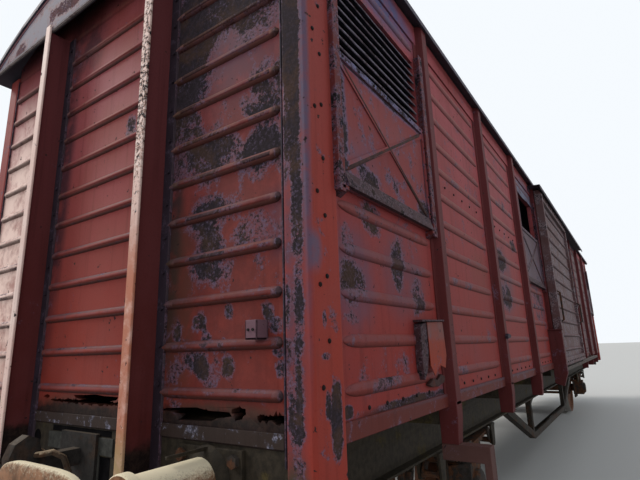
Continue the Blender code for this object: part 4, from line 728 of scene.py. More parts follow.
class Shape:
    """Mesh that gathers simple closed forms."""

    def __init__(self) -> None:
        """Start empty."""
        self.bm = bmesh.new()

    def loft(self, rings: list[list[Point]]) -> Shape:
        """Join rings of equal length into one closed form.

        Args:
            rings: The rings of points.

        Returns:
            The shape, so that calls can be chained.
        """
        made = [[self.bm.verts.new(p) for p in ring] for ring in rings]
        count = len(made[0])
        for low, high in zip(made, made[1:]):
            for k in range(count):
                j = (k + 1) % count
                self.bm.faces.new((low[k], low[j], high[j], high[k]))
        self.bm.faces.new(made[0][::-1])
        self.bm.faces.new(made[-1])
        return self

    def prism(self, outline: list[Flat], axis: Axis, start: float, stop: float) -> Shape:
        """Draw a flat outline out along an axis.

        Args:
            outline: Points in the plane across the axis, in X, Y, Z order.
            axis: The axis.
            start: Where it starts.
            stop: Where it stops.

        Returns:
            The shape.
        """
        def at(u: float, v: float, w: float) -> Point:
            """Return a point of the outline at w along the axis."""
            return ((w, u, v), (u, w, v), (u, v, w))[axis.value]

        return self.loft([[at(u, v, w) for u, v in outline] for w in (start, stop)])

    def box(self, low: Point, high: Point) -> Shape:
        """Add a box between two corners."""
        outline = [(low[1], low[2]), (high[1], low[2]), (high[1], high[2]), (low[1], high[2])]
        return self.prism(outline, Axis.X, low[0], high[0])

    def turned(self, profile: list[Flat], axis: Axis, centre: Point, steps: int) -> Shape:
        """Turn a profile of (along, radius) points about an axis.

        Args:
            profile: The profile, from one end on the axis to the other.
            axis: The axis.
            centre: A point on the axis.
            steps: Number of facets round it.

        Returns:
            The shape.
        """
        across = [i for i in range(3) if i != axis.value]
        rings = []
        for along, radius in profile:
            ring = []
            for k in range(steps):
                angle = 2 * math.pi * k / steps
                point = list(centre)
                point[axis.value] += along
                point[across[0]] += max(radius, 0.0005) * math.cos(angle)
                point[across[1]] += max(radius, 0.0005) * math.sin(angle)
                ring.append(tuple(point))
            rings.append(ring)
        return self.loft(rings)

    def tube(self, path: list[Point], radius: float, sides: int = 10) -> Shape:
        """Lay a round bar along a path.

        Args:
            path: The points that it follows.
            radius: Its radius.
            sides: Number of facets round it.

        Returns:
            The shape.
        """
        points = [Vector(p) for p in path]
        rings = []
        side = None
        for k, point in enumerate(points):
            ahead = (points[min(k + 1, len(points) - 1)] - points[max(k - 1, 0)]).normalized()
            side = ahead.orthogonal() if side is None else side
            side = (side - ahead * side.dot(ahead)).normalized()
            up = ahead.cross(side)
            turns = [2 * math.pi * j / sides for j in range(sides)]
            rings.append([tuple(point + radius * (math.cos(t) * side + math.sin(t) * up)) for t in turns])
        return self.loft(rings)

    def bead(self, start: Point, stop: Point, out: Point, half: float, proud: float,
             fades: Flat = (0.05, 0.05)) -> Shape:
        """Raise a rounded ridge on a flat sheet, with both ends running out.

        Args:
            start: One end, on the sheet.
            stop: The other end, on the sheet.
            out: Direction away from the sheet.
            half: Half its width.
            proud: Its height.
            fades: Length over which each end runs out.

        Returns:
            The shape.
        """
        first, last, away = Vector(start), Vector(stop), Vector(out)
        length = (last - first).length
        ahead = (last - first) / length
        side = ahead.cross(away).normalized()
        marks = (0.0, 0.08, 0.25, 0.55, 1.0)
        stations = [fades[0] * s for s in marks] + [length - fades[1] * s for s in reversed(marks)]
        rings = []
        for along in stations:
            left = min(1.0, along / fades[0], (length - along) / fades[1])
            size = math.sqrt(max(0.02, 1 - (1 - left) ** 2))
            spot = first + ahead * along
            ring = []
            for u in (1, 0.86, 0.6, 0.3, 0, -0.3, -0.6, -0.86, -1):
                rise = proud * size * (1 - abs(u) ** 2.4) ** 0.62
                ring.append(tuple(spot + side * half * size * u + away * rise))
            for u in (-0.9, 0.9):
                ring.append(tuple(spot + side * half * size * u - away * 0.006))
            rings.append(ring)
        return self.loft(rings)

    def mirror(self, sign_x: int, sign_y: int) -> None:
        """Turn everything gathered so far to another corner of the wagon.

        Args:
            sign_x: End of the wagon, 1 for the front and -1 for the rear.
            sign_y: Side of the wagon, 1 for the left and -1 for the right.
        """
        for vert in self.bm.verts:
            vert.co.x *= sign_x
            vert.co.y *= sign_y

    def piece(self, name: str, finish: Finish, body: str = BODY, stands_for: tuple[str, ...] = (),
              bevel: float = 0.0, segments: int = 2, smooth: float = 35.0,
              recalc: bool = True) -> bpy.types.Object:
        """Turn the gathered forms into a dressed piece.

        Args:
            name: Name of the piece.
            finish: Its finish.
            body: The body it rides on.
            stands_for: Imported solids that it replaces.
            bevel: Width of the rounding on sharp edges.
            segments: Facets across the rounding.
            smooth: Angle in degrees up to which edges are smooth.
            recalc: Whether the faces are turned outwards.

        Returns:
            The piece.
        """
        if recalc:
            bmesh.ops.recalc_face_normals(self.bm, faces=self.bm.faces)
        mesh = bpy.data.meshes.new(name)
        self.bm.to_mesh(mesh)
        self.bm.free()
        obj = added(name, mesh)
        if bevel:
            rounding = obj.modifiers.new("rounding", "BEVEL")
            rounding.width = bevel
            rounding.segments = segments
            rounding.limit_method = "ANGLE"
            rounding.angle_limit = math.radians(28)
        mesh.shade_smooth()
        mesh.set_sharp_from_angle(angle=math.radians(smooth))
        mesh.materials.append(finish.material())
        mesh.polygons.foreach_set("material_index", [0] * len(mesh.polygons))
        if stands_for:
            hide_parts(*stands_for)
        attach(obj, body)
        LOG.info("%s: %d faces, rides on %s", name, len(mesh.polygons), body)
        return obj


def refined(node: str, finish: Finish, body: str = BODY, bevel: float = 0.003) -> bpy.types.Object:
    """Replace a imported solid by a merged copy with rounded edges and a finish.

    Args:
        node: Name of the solid.
        finish: Its finish.
        body: The body it rides on.
        bevel: Width of the rounding.

    Returns:
        The piece.
    """
    shape = Shape()
    shape.bm.from_mesh(frame["nodes"][node].data)
    bmesh.ops.remove_doubles(shape.bm, verts=shape.bm.verts, dist=1e-5)
    return shape.piece(node + "_dressed", finish, body, (node,), bevel, recalc=False)


class HeadForm(Enum):
    """Form of a fastener's head."""

    DOME = 0
    HEX = 1


def fastener_tree(form: HeadForm) -> bpy.types.NodeTree:
    """Make the tree that sets a head on every point, facing the way the point says.

    Args:
        form: Form of the heads.

    Returns:
        The tree.
    """
    tree = bpy.data.node_groups.new("fasteners_" + form.name.lower(), "GeometryNodeTree")
    for name, kind, way in (("Geometry", "Geometry", "INPUT"), ("Radius", "Float", "INPUT"),
                            ("Height", "Float", "INPUT"), ("Material", "Material", "INPUT"),
                            ("Geometry", "Geometry", "OUTPUT")):
        tree.interface.new_socket(name, in_out=way, socket_type="NodeSocket" + kind)
    new = tree.nodes.new
    start, stop, points = new("NodeGroupInput"), new("NodeGroupOutput"), new("GeometryNodeMeshToPoints")
    if form is HeadForm.DOME:
        head = new("GeometryNodeMeshUVSphere")
        head.inputs["Segments"].default_value = 8
        head.inputs["Rings"].default_value = 5
    else:
        head = new("GeometryNodeMeshCylinder")
        head.inputs["Vertices"].default_value = 6
        head.inputs["Depth"].default_value = 2.0
    head.inputs["Radius"].default_value = 1.0
    size, facing = new("ShaderNodeCombineXYZ"), new("GeometryNodeInputNamedAttribute")
    facing.data_type = "FLOAT_VECTOR"
    facing.inputs["Name"].default_value = "facing"
    turn, spread = new("FunctionNodeAlignRotationToVector"), new("GeometryNodeInstanceOnPoints")
    real, soft = new("GeometryNodeRealizeInstances"), new("GeometryNodeSetShadeSmooth")
    soft.inputs["Shade Smooth"].default_value = form is HeadForm.DOME
    paint = new("GeometryNodeSetMaterial")
    for source, out, target, into in (
        (start, "Geometry", points, "Mesh"), (start, "Radius", size, "X"), (start, "Radius", size, "Y"),
        (start, "Height", size, "Z"), (facing, "Attribute", turn, "Vector"),
        (points, "Points", spread, "Points"), (head, "Mesh", spread, "Instance"),
        (turn, "Rotation", spread, "Rotation"), (size, "Vector", spread, "Scale"),
        (spread, "Instances", real, "Geometry"),
        (real, "Geometry", soft, "Geometry"), (soft, "Geometry", paint, "Geometry"),
        (start, "Material", paint, "Material"), (paint, "Geometry", stop, "Geometry"),
    ):
        tree.links.new(source.outputs[out], target.inputs[into])
    return tree


class Fasteners:
    """Rivet or bolt heads gathered as points, then made in one go."""

    trees: dict[HeadForm, bpy.types.NodeTree] = {}

    def __init__(self, radius: float, height: float, form: HeadForm = HeadForm.DOME) -> None:
        """Start with no heads.

        Args:
            radius: Radius of a head.
            height: How far a head stands out.
            form: Form of a head.
        """
        self.radius = radius
        self.height = height
        self.form = form
        self.points: list[Point] = []
        self.facing: list[Point] = []

    def add(self, point: Point, facing: Point) -> None:
        """Add one head at a point, facing a way."""
        self.points.append(point)
        self.facing.append(facing)

    def row(self, start: Point, stop: Point, count: int, facing: Point) -> None:
        """Add a straight row of heads.

        Args:
            start: First head.
            stop: Last head.
            count: Number of heads.
            facing: The way they face.
        """
        first, last = Vector(start), Vector(stop)
        for k in range(count):
            self.add(tuple(first.lerp(last, k / (count - 1))), facing)

    def piece(self, name: str, finish: Finish, body: str = BODY) -> None:
        """Turn the points into one piece.

        Args:
            name: Name of the piece.
            finish: Its finish.
            body: The body it rides on.
        """
        if self.form not in Fasteners.trees:
            Fasteners.trees[self.form] = fastener_tree(self.form)
        tree = Fasteners.trees[self.form]
        cloud = bpy.data.meshes.new(name + "_points")
        cloud.from_pydata(self.points, [], [])
        facing = cloud.attributes.new("facing", "FLOAT_VECTOR", "POINT")
        facing.data.foreach_set("vector", [c for f in self.facing for c in f])
        source = added(name + "_points", cloud)
        modifier = source.modifiers.new("heads", "NODES")
        modifier.node_group = tree
        values = {"Radius": self.radius, "Height": self.height, "Material": finish.material()}
        for item in tree.interface.items_tree:
            if item.in_out == "INPUT" and item.name in values:
                modifier[item.identifier] = values[item.name]
        evaluated = source.evaluated_get(bpy.context.evaluated_depsgraph_get())
        mesh = bpy.data.meshes.new_from_object(evaluated)
        mesh.name = name
        bpy.data.objects.remove(source)
        obj = added(name, mesh)
        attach(obj, body)
        LOG.info("%s: %d heads, rides on %s", name, len(self.points), body)


def bays(sign: int, reaches: tuple[Flat, ...]) -> list[Flat]:
    """Return ranges along one half of the wagon, each with the lower X first."""
    return [tuple(sorted((sign * a, sign * b))) for a, b in reaches]


def vent_bays(sign: int) -> list[Flat]:
    """Return the clear range of the two vent bays of one half, nearest the end first."""
    inner = (END - (BAYS - 1) * BAY - POST_HALF, DOOR_HALF + DOOR_POST)
    return bays(sign, ((END - CORNER, END - BAY + POST_HALF), inner))


def plain_bays(sign: int) -> list[Flat]:
    """Return the clear range of the two plain bays of one half."""
    return bays(sign, tuple((END - k * BAY - POST_HALF, END - (k + 1) * BAY + POST_HALF) for k in (1, 2)))


@dataclass
class SideWall:
    """Sheets, louvres, posts and sill of one side."""

    name: str
    side: int
    wall: float = 0.045
    slats: int = 9
    post_base: float = 0.165
    post_face: float = 0.076
    post_proud: float = 0.052
    arm_half: float = 0.042
    arm_drop: float = 0.265
    hook: tuple[Flat, ...] = (
        (-0.055, 0.385), (-0.050, 0.362), (0.050, 0.352), (0.055, 0.372), (0.030, 0.392))

    def build(self) -> None:
        """Build the side."""
        for part in (self.sheets, self.ridges, self.louvres, self.posts, self.corner_posts, self.step_arm,
                     self.rails, self.guides, self.lock, self.fasteners):
            part()

    def at(self, out: float) -> float:
        """Return the Y of a plane that stands out of the sheet by a distance."""
        return self.side * (HALF + out)

    def inner(self) -> float:
        """Return the Y of the plane just inside the lining."""
        return self.side * (HALF - self.wall - 0.005)

    def sheets(self) -> None:
        """Tile the wall round the vents. The half behind the door leaf has weathered greyer."""
        low, high = SILL + 0.0703, EAVE - 0.1503
        vent = ((low, SILL + VENT_LOW), (SILL + VENT_HIGH, high))
        for end, sign in ENDS:
            shape = Shape()
            cuts = [(a + 0.030, b - 0.030) for a, b in vent_bays(sign)]
            limits = [sign * (DOOR_HALF + DOOR_POST + SKIN), sign * (END - CORNER - SKIN)]
            marks = sorted(limits + [mark for cut in cuts for mark in cut])
            for a, b in zip(marks, marks[1:]):
                for z0, z1 in vent if any(abs(a - cut[0]) < 1e-6 for cut in cuts) else ((low, high),):
                    shape.box((a, self.at(-self.wall), z0), (b, self.at(0), z1))
            node = f"side_sheet_{self.name}_{end}"
            paint = SIDE_PAINT if sign == self.side else FAR_PAINT
            shape.piece(node + "_plate", paint, stands_for=(node,))

    def ridges(self) -> None:
        """Press the ridges into every bay."""
        levels = [SWAGE_FIRST + k * SWAGE_PITCH for k in range(SWAGE_COUNT)]
        clear = DOOR_LEAF + 0.115
        for end, sign in ENDS:
            shape = Shape()
            spans = [(bay, levels) for bay in plain_bays(sign)]
            spans += [(bay, [v for v in levels if v < 0.90 or v > 2.10]) for bay in vent_bays(sign)]
            for (a, b), heights in spans:
                if self.side == sign and min(abs(a), abs(b)) < DOOR_HALF + 0.09:
                    a, b = (clear, b) if sign > 0 else (a, -clear)
                for z in (SILL + level for level in heights):
                    start, stop = (a + 0.028, self.at(0), z), (b - 0.028, self.at(0), z)
                    shape.bead(start, stop, (0, self.side, 0), 0.027, 0.0090, (0.12, 0.12))
            paint = RIDGE_PAINT if sign == self.side else FAR_RIDGE_PAINT
            shape.piece(f"side_ridges_{self.name}_{end}", paint, smooth=60)

    def louvres(self) -> None:
        """Set the slats in the vents, each with a bright rolled lip; one vent has lost them."""
        slats, lips = Shape(), Shape()
        low, high = SILL + VENT_LOW, SILL + VENT_HIGH
        pitch = (VENT_HIGH - VENT_LOW) / self.slats
        rng = random.Random(5)
        back, front = self.at(-0.038), self.at(-0.003)
        for sign in (1, -1):
            for number, (a, b) in enumerate(vent_bays(sign)):
                if (self.side, sign, number) == (1, 1, 1):
                    continue
                for k in range(self.slats):
                    z = low + (k + 0.5) * pitch
                    outline = [(back, z + 0.015), (back, z + 0.021), (front, z - 0.009), (front, z - 0.015)]
                    slats.prism(outline, Axis.X, a + 0.024, b - 0.024)
                    steps = [a + 0.031 + (b - a - 0.062) * j / 12 for j in range(13)]
                    path = [(x, front, z - 0.013 + rng.uniform(-0.0015, 0.0015)) for x in steps]
                    lips.tube(path, 0.0052 - 0.0003 * k, 6)
                for x in (a + 0.020, b - 0.032):
                    slats.box((x, self.at(-0.057), low - 0.02), (x + 0.012, self.at(-0.044), high + 0.02))
        slats.piece(f"louvre_slats_{self.name}", SLAT_PAINT)
        lips.piece(f"louvre_lips_{self.name}", SLAT_LIP)
        if self.side > 0:
            self.flap(*vent_bays(1)[1])

    def flap(self, a: float, b: float) -> None:
        """Leave the lifted strip of sheet above the vent without louvres.

        Args:
            a: One end of the bay.
            b: The other end of the bay.
        """
        rings = []
        for k in range(13):
            x = a + 0.020 + (b - a - 0.040) * k / 12
            lift = 0.0012 * math.sin(9 * k)
            low, high = SILL + 2.030 + 0.010 * math.sin(7 * k), SILL + 2.175
            rings.append([(x, self.at(0.0005), high), (x, self.at(0.0045), high),
                          (x, self.at(0.0060 + lift), low), (x, self.at(0.0022 + lift), low)])
        Shape().loft(rings).piece(f"vent_flap_{self.name}", FLAP_PAINT, bevel=0.001)

    def posts(self) -> None:
        """Stand the hat-section posts on their feet, one with a hook."""
        shape = Shape()
        base, face, brim = self.post_base / 2, self.post_face / 2, self.post_face / 2 + 0.012
        back, lip, front, inner = self.at(SKIN), self.at(0.007), self.at(self.post_proud), self.inner()
        feet = ((SILL - POST_DROP, face, front - self.side * 0.012), (SILL - 0.05, face + 0.006, front),
                (SILL + 0.030, face + 0.010, front))
        for sign in (1, -1):
            for x in (sign * (END - k * BAY) for k in range(1, BAYS)):
                hat = [(x - base, back), (x + base, back), (x + base, lip), (x + brim, lip),
                       (x + face, front), (x - face, front), (x - brim, lip), (x - base, lip)]
                shape.prism(hat, Axis.Z, SILL + 0.010, EAVE - 0.010)
                shape.loft([[(x - w, inner, z), (x + w, inner, z), (x + w, out, z), (x - w, out, z)]
                            for z, w, out in feet])
            near, far = sign * DOOR_HALF, sign * (DOOR_HALF + DOOR_POST)
            shape.box((near, inner, SILL + 0.005), (far, front, EAVE - 0.010))
        frame_node = "side_frame_" + self.name
        shape.piece(f"side_posts_{self.name}", SHADED_POST_PAINT, stands_for=(frame_node,), bevel=0.0035)
        x = self.side * (END - 2 * BAY)
        outline = [(x + u, SILL + v) for u, v in self.hook]
        hook = Shape().prism(outline, Axis.Y, self.at(self.post_proud - 0.001), self.at(0.074))
        hook.piece(f"post_hook_{self.name}", HOOD_PAINT, bevel=0.003)

    def corner_posts(self) -> None:
        """Stand the rounded corner posts, with the seam along their inner edge."""
        shape, seam = Shape(), Shape()
        back, front = self.side * (HALF - 0.100), self.at(0.020)
        for sign in (1, -1):
            outer, inner = sign * (END + 0.012), sign * (END - CORNER)
            outline = [(outer, back), (outer, front), (inner, front), (inner, back)]
            shape.prism(outline, Axis.Z, SILL - POST_DROP, EAVE - 0.010)
            seam.box((sign * (END + SKIN), back - self.side * 0.007, SILL - 0.050),
                     (sign * (END + 0.0095), back - self.side * 0.0004, EAVE - 0.050))
        shape.piece(f"corner_posts_{self.name}", CORNER_PAINT, bevel=0.014, segments=4)
        seam.piece(f"corner_seams_{self.name}", HOOD_PAINT, bevel=0.002)

    def step_arm(self) -> None:
        """Hang the arm below one post that turns down where the step was."""
        x, half, low = self.side * (END - BAY), self.arm_half, SILL - self.arm_drop
        inner, leg, tip = self.side * (HALF - 0.050), self.at(0.164), self.at(0.200)
        outline = [(inner, low), (leg, low), (leg, low - 0.120), (tip, low - 0.120), (tip, low + 0.080),
                   (inner, low + 0.080)]
        arm = Shape().prism(outline, Axis.X, x - half, x + half)
        arm.piece(f"step_arm_{self.name}", STEP_PAINT, bevel=0.003)

    def rails(self) -> None:
        """Lay the sill and the cant rail."""
        for name, low, high, paint in (("sill", SILL, SILL + 0.0698, SILL_PAINT),
                                       ("cant_rail", EAVE - 0.150, EAVE - 0.010, SIDE_PAINT)):
            rail = Shape().box((0.050 - END, self.inner(), low), (END - 0.050, self.at(0.010), high))
            rail.piece(f"{name}_{self.name}", paint, bevel=0.004)

    def guides(self) -> None:
        """Fix the angles that guide the shutters, with the stops at their feet."""
        shape = Shape()
        top = SILL + SHUTTER_LOW - SKIN
        back, lip, front = self.at(SKIN), self.at(0.0335), self.at(0.044)
        stop = [(back, top - 0.040), (front, top - 0.016), (front, top), (back, top)]
        for a, b in vent_bays(1) + vent_bays(-1):
            for edge, inward in ((a, 1), (b, -1)):
                outer, near, far = edge - inward * 0.020, edge + inward * 0.012, edge + inward * 0.030
                angle = [(outer, back), (near, back), (near, lip), (far, lip), (far, front), (outer, front)]
                shape.prism(angle, Axis.Z, SILL + 0.920, SILL + 2.086)
                shape.prism(stop, Axis.X, edge + inward * 0.006, edge + inward * 0.056)
        shape.piece(f"shutter_guides_{self.name}", GUIDE_PAINT, bevel=0.002)

    def lock(self) -> None:
        """Fix the deep bracket that the closed door meets."""
        near = DOOR_LEAF + 0.0055
        far = near + 0.075
        back, front, foot, top = self.at(SKIN), self.at(0.150), SILL - 0.200, SILL + 0.450
        profile = [(back, foot + 0.030), (self.at(0.095), foot), (front, SILL - 0.050), (front, top),
                   (back, top)]
        shape = Shape().prism(profile, Axis.X, self.side * near, self.side * far)
        shape.box((self.side * near, back, top - 0.002),
                  (self.side * (far + 0.020), self.at(0.162), top + 0.010))
        shape.piece(f"door_lock_{self.name}", DOOR_FRAME_PAINT, bevel=0.004)

    def fasteners(self) -> None:
        """Set the rows of dark bolts across the bays, along the sheet's foot and up the corner posts."""
        heads = Fasteners(0.0095, 0.006)
        out, y, post = (0, self.side, 0), self.at(0.001), self.at(0.021)
        for sign in (1, -1):
            rows = [(bay, level) for bay in plain_bays(sign) for level in (0.098, 1.328)]
            for (a, b), level in rows + [(bay, 0.098) for bay in vent_bays(sign)]:
                heads.row((a + 0.20, y, SILL + level), (b - 0.20, y, SILL + level), 5, out)
            for x, low, high, count in ((END - 0.085, 0.35, 0.20, 9), (END - 0.04, 0.2, 0.1, 7)):
                heads.row((sign * x, post, SILL + low), (sign * x, post, EAVE - high), count, out)
        heads.piece(f"side_bolts_{self.name}", BOLT_DARK)


@dataclass
class Shutter:
    """One vent shutter with its creases, rivets and drip ledge."""

    node: str
    side: int
    bay: Flat
    near: bool
    inset: float = 0.0175
    stand: float = 0.010
    sheet: float = 0.009
    rim: float = 0.0345
    seam: float = 0.0055

    def build(self) -> None:
        """Build the shutter."""
        body = self.node + "_body"
        refined(self.node, SHUTTER_PAINT if self.near else FAR_SHUTTER_PAINT, body, bevel=0.0025)
        a, b = self.bay[0] + self.inset, self.bay[1] - self.inset
        low, high = SILL + SHUTTER_LOW, SILL + VENT_LOW
        back = self.side * (HALF + self.stand)
        sheet = back + self.side * self.sheet
        left, right, foot, head = a + 0.042, b - 0.042, low + 0.080, high - 0.042
        creases = Shape()
        for z0, z1 in ((foot, head), (head, foot)):
            creases.bead((left, sheet, z0), (right, sheet, z1), (0, self.side, 0), 0.0125, 0.0085)
        creases.piece(self.node + "_creases", CREASE_PAINT, body, smooth=60)
        border, over = Shape(), back + self.side * 0.0178
        sole, crown = low + 0.074, high - 0.003
        for x0, x1, z0 in ((a + 0.003, a + 0.032, sole), (b - 0.032, b - 0.003, sole),
                           (a + 0.032, b - 0.032, high - 0.032)):
            border.box((x0, over, z0), (x1, over + self.side * 0.0020, crown))
        paint = BORDER_PAINT if self.near else FAR_SHUTTER_PAINT
        border.piece(self.node + "_border", paint, body, bevel=0.0008)
        # Painted shadow lines: thin dark strips along the inner edge of the rim.
        seams, rim, line = Shape(), self.rim, self.seam
        y0, y1 = sheet - self.side * 0.001, sheet + self.side * 0.0012
        x0, x1, z0, z1 = a + rim, b - rim, low + 0.075, high - rim
        for u0, v0, u1, v1 in ((x0, z0, x0 + line, z1), (x1 - line, z0, x1, z1), (x0, z1 - line, x1, z1),
                               (x0, z0, x1, z0 + line)):
            seams.box((u0, y0, v0), (u1, y1, v1))
        seams.piece(self.node + "_seams", HOOD_PAINT, body)
        rear, top, front = back + self.side * 0.002, low + 0.072, self.side * (HALF + 0.047)
        outline = [(rear, top), (back + self.side * 0.019, top), (front, low + 0.012), (front, low + 0.0005),
                   (rear, low + 0.0005)]
        ledge = Shape().prism(outline, Axis.X, a + 0.0305, b - 0.0305)
        ledge.piece(self.node + "_ledge", LEDGE_PAINT, body, bevel=0.002)
        heads = Fasteners(0.007, 0.004)
        y = back + self.side * 0.0200
        for x0, z0, x1, z1, count in ((a + 0.020, low + 0.10, a + 0.020, high - 0.02, 6),
                                      (b - 0.020, low + 0.10, b - 0.020, high - 0.02, 6),
                                      (a + 0.06, high - 0.017, b - 0.06, high - 0.017, 7)):
            heads.row((x0, y, z0), (x1, y, z1), count, (0, self.side, 0))
        heads.piece(self.node + "_rivets", BOLT_DARK, body)


@dataclass
class EndPanel:
    """Sheet, ridges and stanchions of one end."""

    name: str
    sign: int
    stanchion: float = 0.522
    proud: float = 0.146
    flange: float = 0.026
    torn: tuple[tuple[float, ...], ...] = (
        (-0.40, -0.345, 0.128, 0.018), (-0.33, 0.44, 0.112, 0.017), (0.56, 0.64, 0.103, 0.010),
        (0.66, 0.96, 0.098, 0.017), (0.975, 1.045, 0.112, 0.024), (1.10, 1.228, 0.098, 0.026))

    def build(self) -> None:
        """Build the end, with a strip along the foot of its sheet."""
        plate = refined("end_wall_" + self.name, END_PAINT, bevel=0.0)
        if self.sign > 0:
            self.tear(plate)
        self.ridges()
        self.stanchions()
        reach = HALF - 0.110
        strip = Shape().box((self.at(SKIN), -reach, SILL + 0.005), (self.at(0.008), reach, SILL + 0.055))
        strip.piece(f"end_strip_{self.name}", STRIP_PAINT, bevel=0.002)

    def at(self, out: float) -> float:
        """Return the X of a plane that stands out of the sheet by a distance."""
        return self.sign * (END + out)

    def tear(self, plate: bpy.types.Object) -> None:
        """Cut the slots that rust has torn along the foot of the sheet.

        Args:
            plate: The sheet.
        """
        cutter = Shape()
        rng = random.Random(7)
        for start, stop, height, half in self.torn:
            count = max(8, int((stop - start) / 0.007))

            def edge(k: int, sign: int, low: float, spread: float) -> Flat:
                """Find one point of a ragged lip of the slot.

                Args:
                    k: Number of the point.
                    sign: 1 for the upper lip and -1 for the lower one.
                    low: Least share of the slot's half height.
                    spread: How much of it is left to chance.

                Returns:
                    The point, as a distance across the end and a height.
                """
                swell = math.sin(math.pi * (k + 0.3) / (count + 0.6)) ** 0.35
                swell *= 0.45 + 0.55 * abs(math.sin(0.31 * k + 9 * start))
                lip = sign * half * (low + spread * rng.random()) * swell
                return start + (stop - start) * k / count, SILL + height + lip

            top = [edge(k, 1, 0.35, 0.95) for k in range(count + 1)]
            low = [edge(k, -1, 0.30, 0.70) for k in range(count, -1, -1)]
            cutter.prism(top + low, Axis.X, END - 0.2, END + 0.2)
        bmesh.ops.recalc_face_normals(cutter.bm, faces=cutter.bm.faces)
        mesh = bpy.data.meshes.new("torn")
        cutter.bm.to_mesh(mesh)
        tool = added("torn", mesh)
        cut = plate.modifiers.new("torn", "BOOLEAN")
        cut.operation = "DIFFERENCE"
        cut.solver = "EXACT"
        cut.use_self = True
        cut.object = tool
        torn = bpy.data.meshes.new_from_object(plate.evaluated_get(bpy.context.evaluated_depsgraph_get()))
        plate.modifiers.clear()
        plate.data = torn
        bpy.data.objects.remove(tool)

    def ridges(self) -> None:
        """Press the ridges into the three fields of the sheet."""
        shape = Shape()
        edge, gap, mid = HALF - 0.104, self.stanchion + 0.010, self.stanchion - 0.010
        for k in range(SWAGE_COUNT):
            z = SILL + SWAGE_FIRST + k * SWAGE_PITCH
            for a, b, proud, fades in ((-edge, -gap, 0.0165, (0.025, 0.09)),
                                       (-mid, mid, 0.0115, (0.09, 0.09)),
                                       (gap, edge, 0.0150, (0.10, 0.022))):
                start, stop = (self.at(0), a + 0.014, z), (self.at(0), b - 0.012, z)
                shape.bead(start, stop, (self.sign, 0, 0), 0.0215, proud, fades)
        shape.piece(f"end_ridges_{self.name}", END_RIDGE_PAINT, smooth=60)

    def stanchions(self) -> None:
        """Stand the flanged stanchions, base, rims, web and flange each with its own paint: pale flanges as
        painted sunlight, rims as a painted highlight and darker webs as painted shade.
        """
        foot, top, far, skin = SILL - POST_DROP, EAVE - 0.034, self.proud, SKIN
        node = "end_frame_" + self.name
        for part, paint, edges, near, out, half, head, settings in (
            ("bases", BASE_PAINT, (0,), skin, 0.010, 0.062, top, {"stands_for": (node,), "bevel": 0.002}),
            ("rims", EDGE_HIGHLIGHT_PAINT, (-0.0635, 0.0635), skin, 0.011, 0.0015, top, {}),
            ("webs", SHADED_STANCHION_PAINT, (0,), 0.009, far - 0.009, 0.007, top, {}),
            ("flanges", SUNLIT_FLANGE_PAINT, (0,), far - 0.012, far, self.flange, EAVE + 0.005,
             {"bevel": 0.0035, "segments": 3}),
        ):
            shape = Shape()
            for y in (side * self.stanchion + edge for side in (-1, 1) for edge in edges):
                shape.box((self.at(near), y - half, foot), (self.at(out), y + half, head))
            shape.piece(f"stanchion_{part}_{self.name}", paint, **settings)
        bolts = Fasteners(0.011, 0.008, HeadForm.HEX)
        x = self.at(0.011)
        for y in (side * self.stanchion + edge for side in (-1, 1) for edge in (-0.042, 0.042)):
            bolts.row((x, y, SILL + 0.05), (x, y, EAVE - 0.12), 15, (self.sign, 0, 0))
        bolts.piece(f"stanchion_bolts_{self.name}", BASE_PAINT)


@dataclass
class LampBracket:
    """Square socket on the front end that holds a tail lamp."""

    y: float = 1.126
    z: float = SILL + 0.397
    half: float = 0.027
    tall: float = 0.034
    deep: float = 0.062
    wall: float = 0.006

    def build(self) -> None:
        """Build the socket's sides, front, back and bottom, and its bolts."""
        shape = Shape()
        face, half, wall, deep = END + 0.001, self.half, self.wall, self.deep
        low, top = self.z - self.tall, self.z + self.tall
        for x0, x1, y0, y1, high in (
            (0, deep, -half, wall - half, top), (0, deep, half - wall, half, top),
            (deep - wall, deep, -half, half, top), (0, wall, -half, half, top),
            (0, deep, -half, half, low + 0.008),
        ):
            shape.box((face + x0, self.y + y0, low), (face + x1, self.y + y1, high))
        shape.piece("lamp_socket", SOCKET_PAINT, bevel=0.002)
        bolts = Fasteners(0.005, 0.004, HeadForm.HEX)
        x = face + 0.063
        bolts.row((x, self.y - 0.011, self.z), (x, self.y + 0.011, self.z), 2, (1, 0, 0))
        bolts.piece("lamp_socket_bolts", BOLT_DARK)


@dataclass
class CardHolder:
    """Torn plate near the front of a side, under a thin hood, that held the waybill."""

    side: int
    sign: int
    name: str
    plate: tuple[Flat, ...] = (
        (0.951, 0.437), (1.170, 0.443), (1.188, 0.270), (1.160, 0.205), (1.085, 0.222), (1.000, 0.176),
        (0.955, 0.225))
    rim: tuple[Flat, ...] = (
        (0.871, 0.425), (0.951, 0.437), (0.951, 0.290), (0.925, 0.205), (0.880, 0.164), (0.866, 0.240))
    hood: tuple[Flat, ...] = ((0.865, 0.436), (1.175, 0.446), (1.175, 0.455), (0.865, 0.447))
    ledge: tuple[Flat, ...] = (
        (0.960, 0.135), (1.020, 0.162), (1.080, 0.150), (1.135, 0.176), (1.190, 0.160), (1.170, 0.132),
        (1.080, 0.118), (1.000, 0.122))

    def build(self) -> None:
        """Build the plate, its rim under the hood, and the torn ledge below."""
        base = HALF + 0.001
        for part, paint, bevel, forms in (
            ("plate", CARD_PAINT, 0.001, ((self.plate, 0.036, 0.040),)),
            # Painted shade: the rim beside the plate is painted dark, as the shade of the standing plate.
            ("rim", LEDGE_PAINT, 0.002, ((self.rim, 0, 0.035), (self.hood, 0, 0.050))),
            ("ledge", CREASE_PAINT, 0.003, ((self.ledge, 0, 0.022),)),
        ):
            shape = Shape()
            for points, low, high in forms:
                outline = [(self.sign * (END - d), SILL + z) for d, z in points]
                shape.prism(outline, Axis.Y, self.side * (base + low), self.side * (base + high))
            shape.piece(f"card_{part}_{self.name}", paint, bevel=bevel)


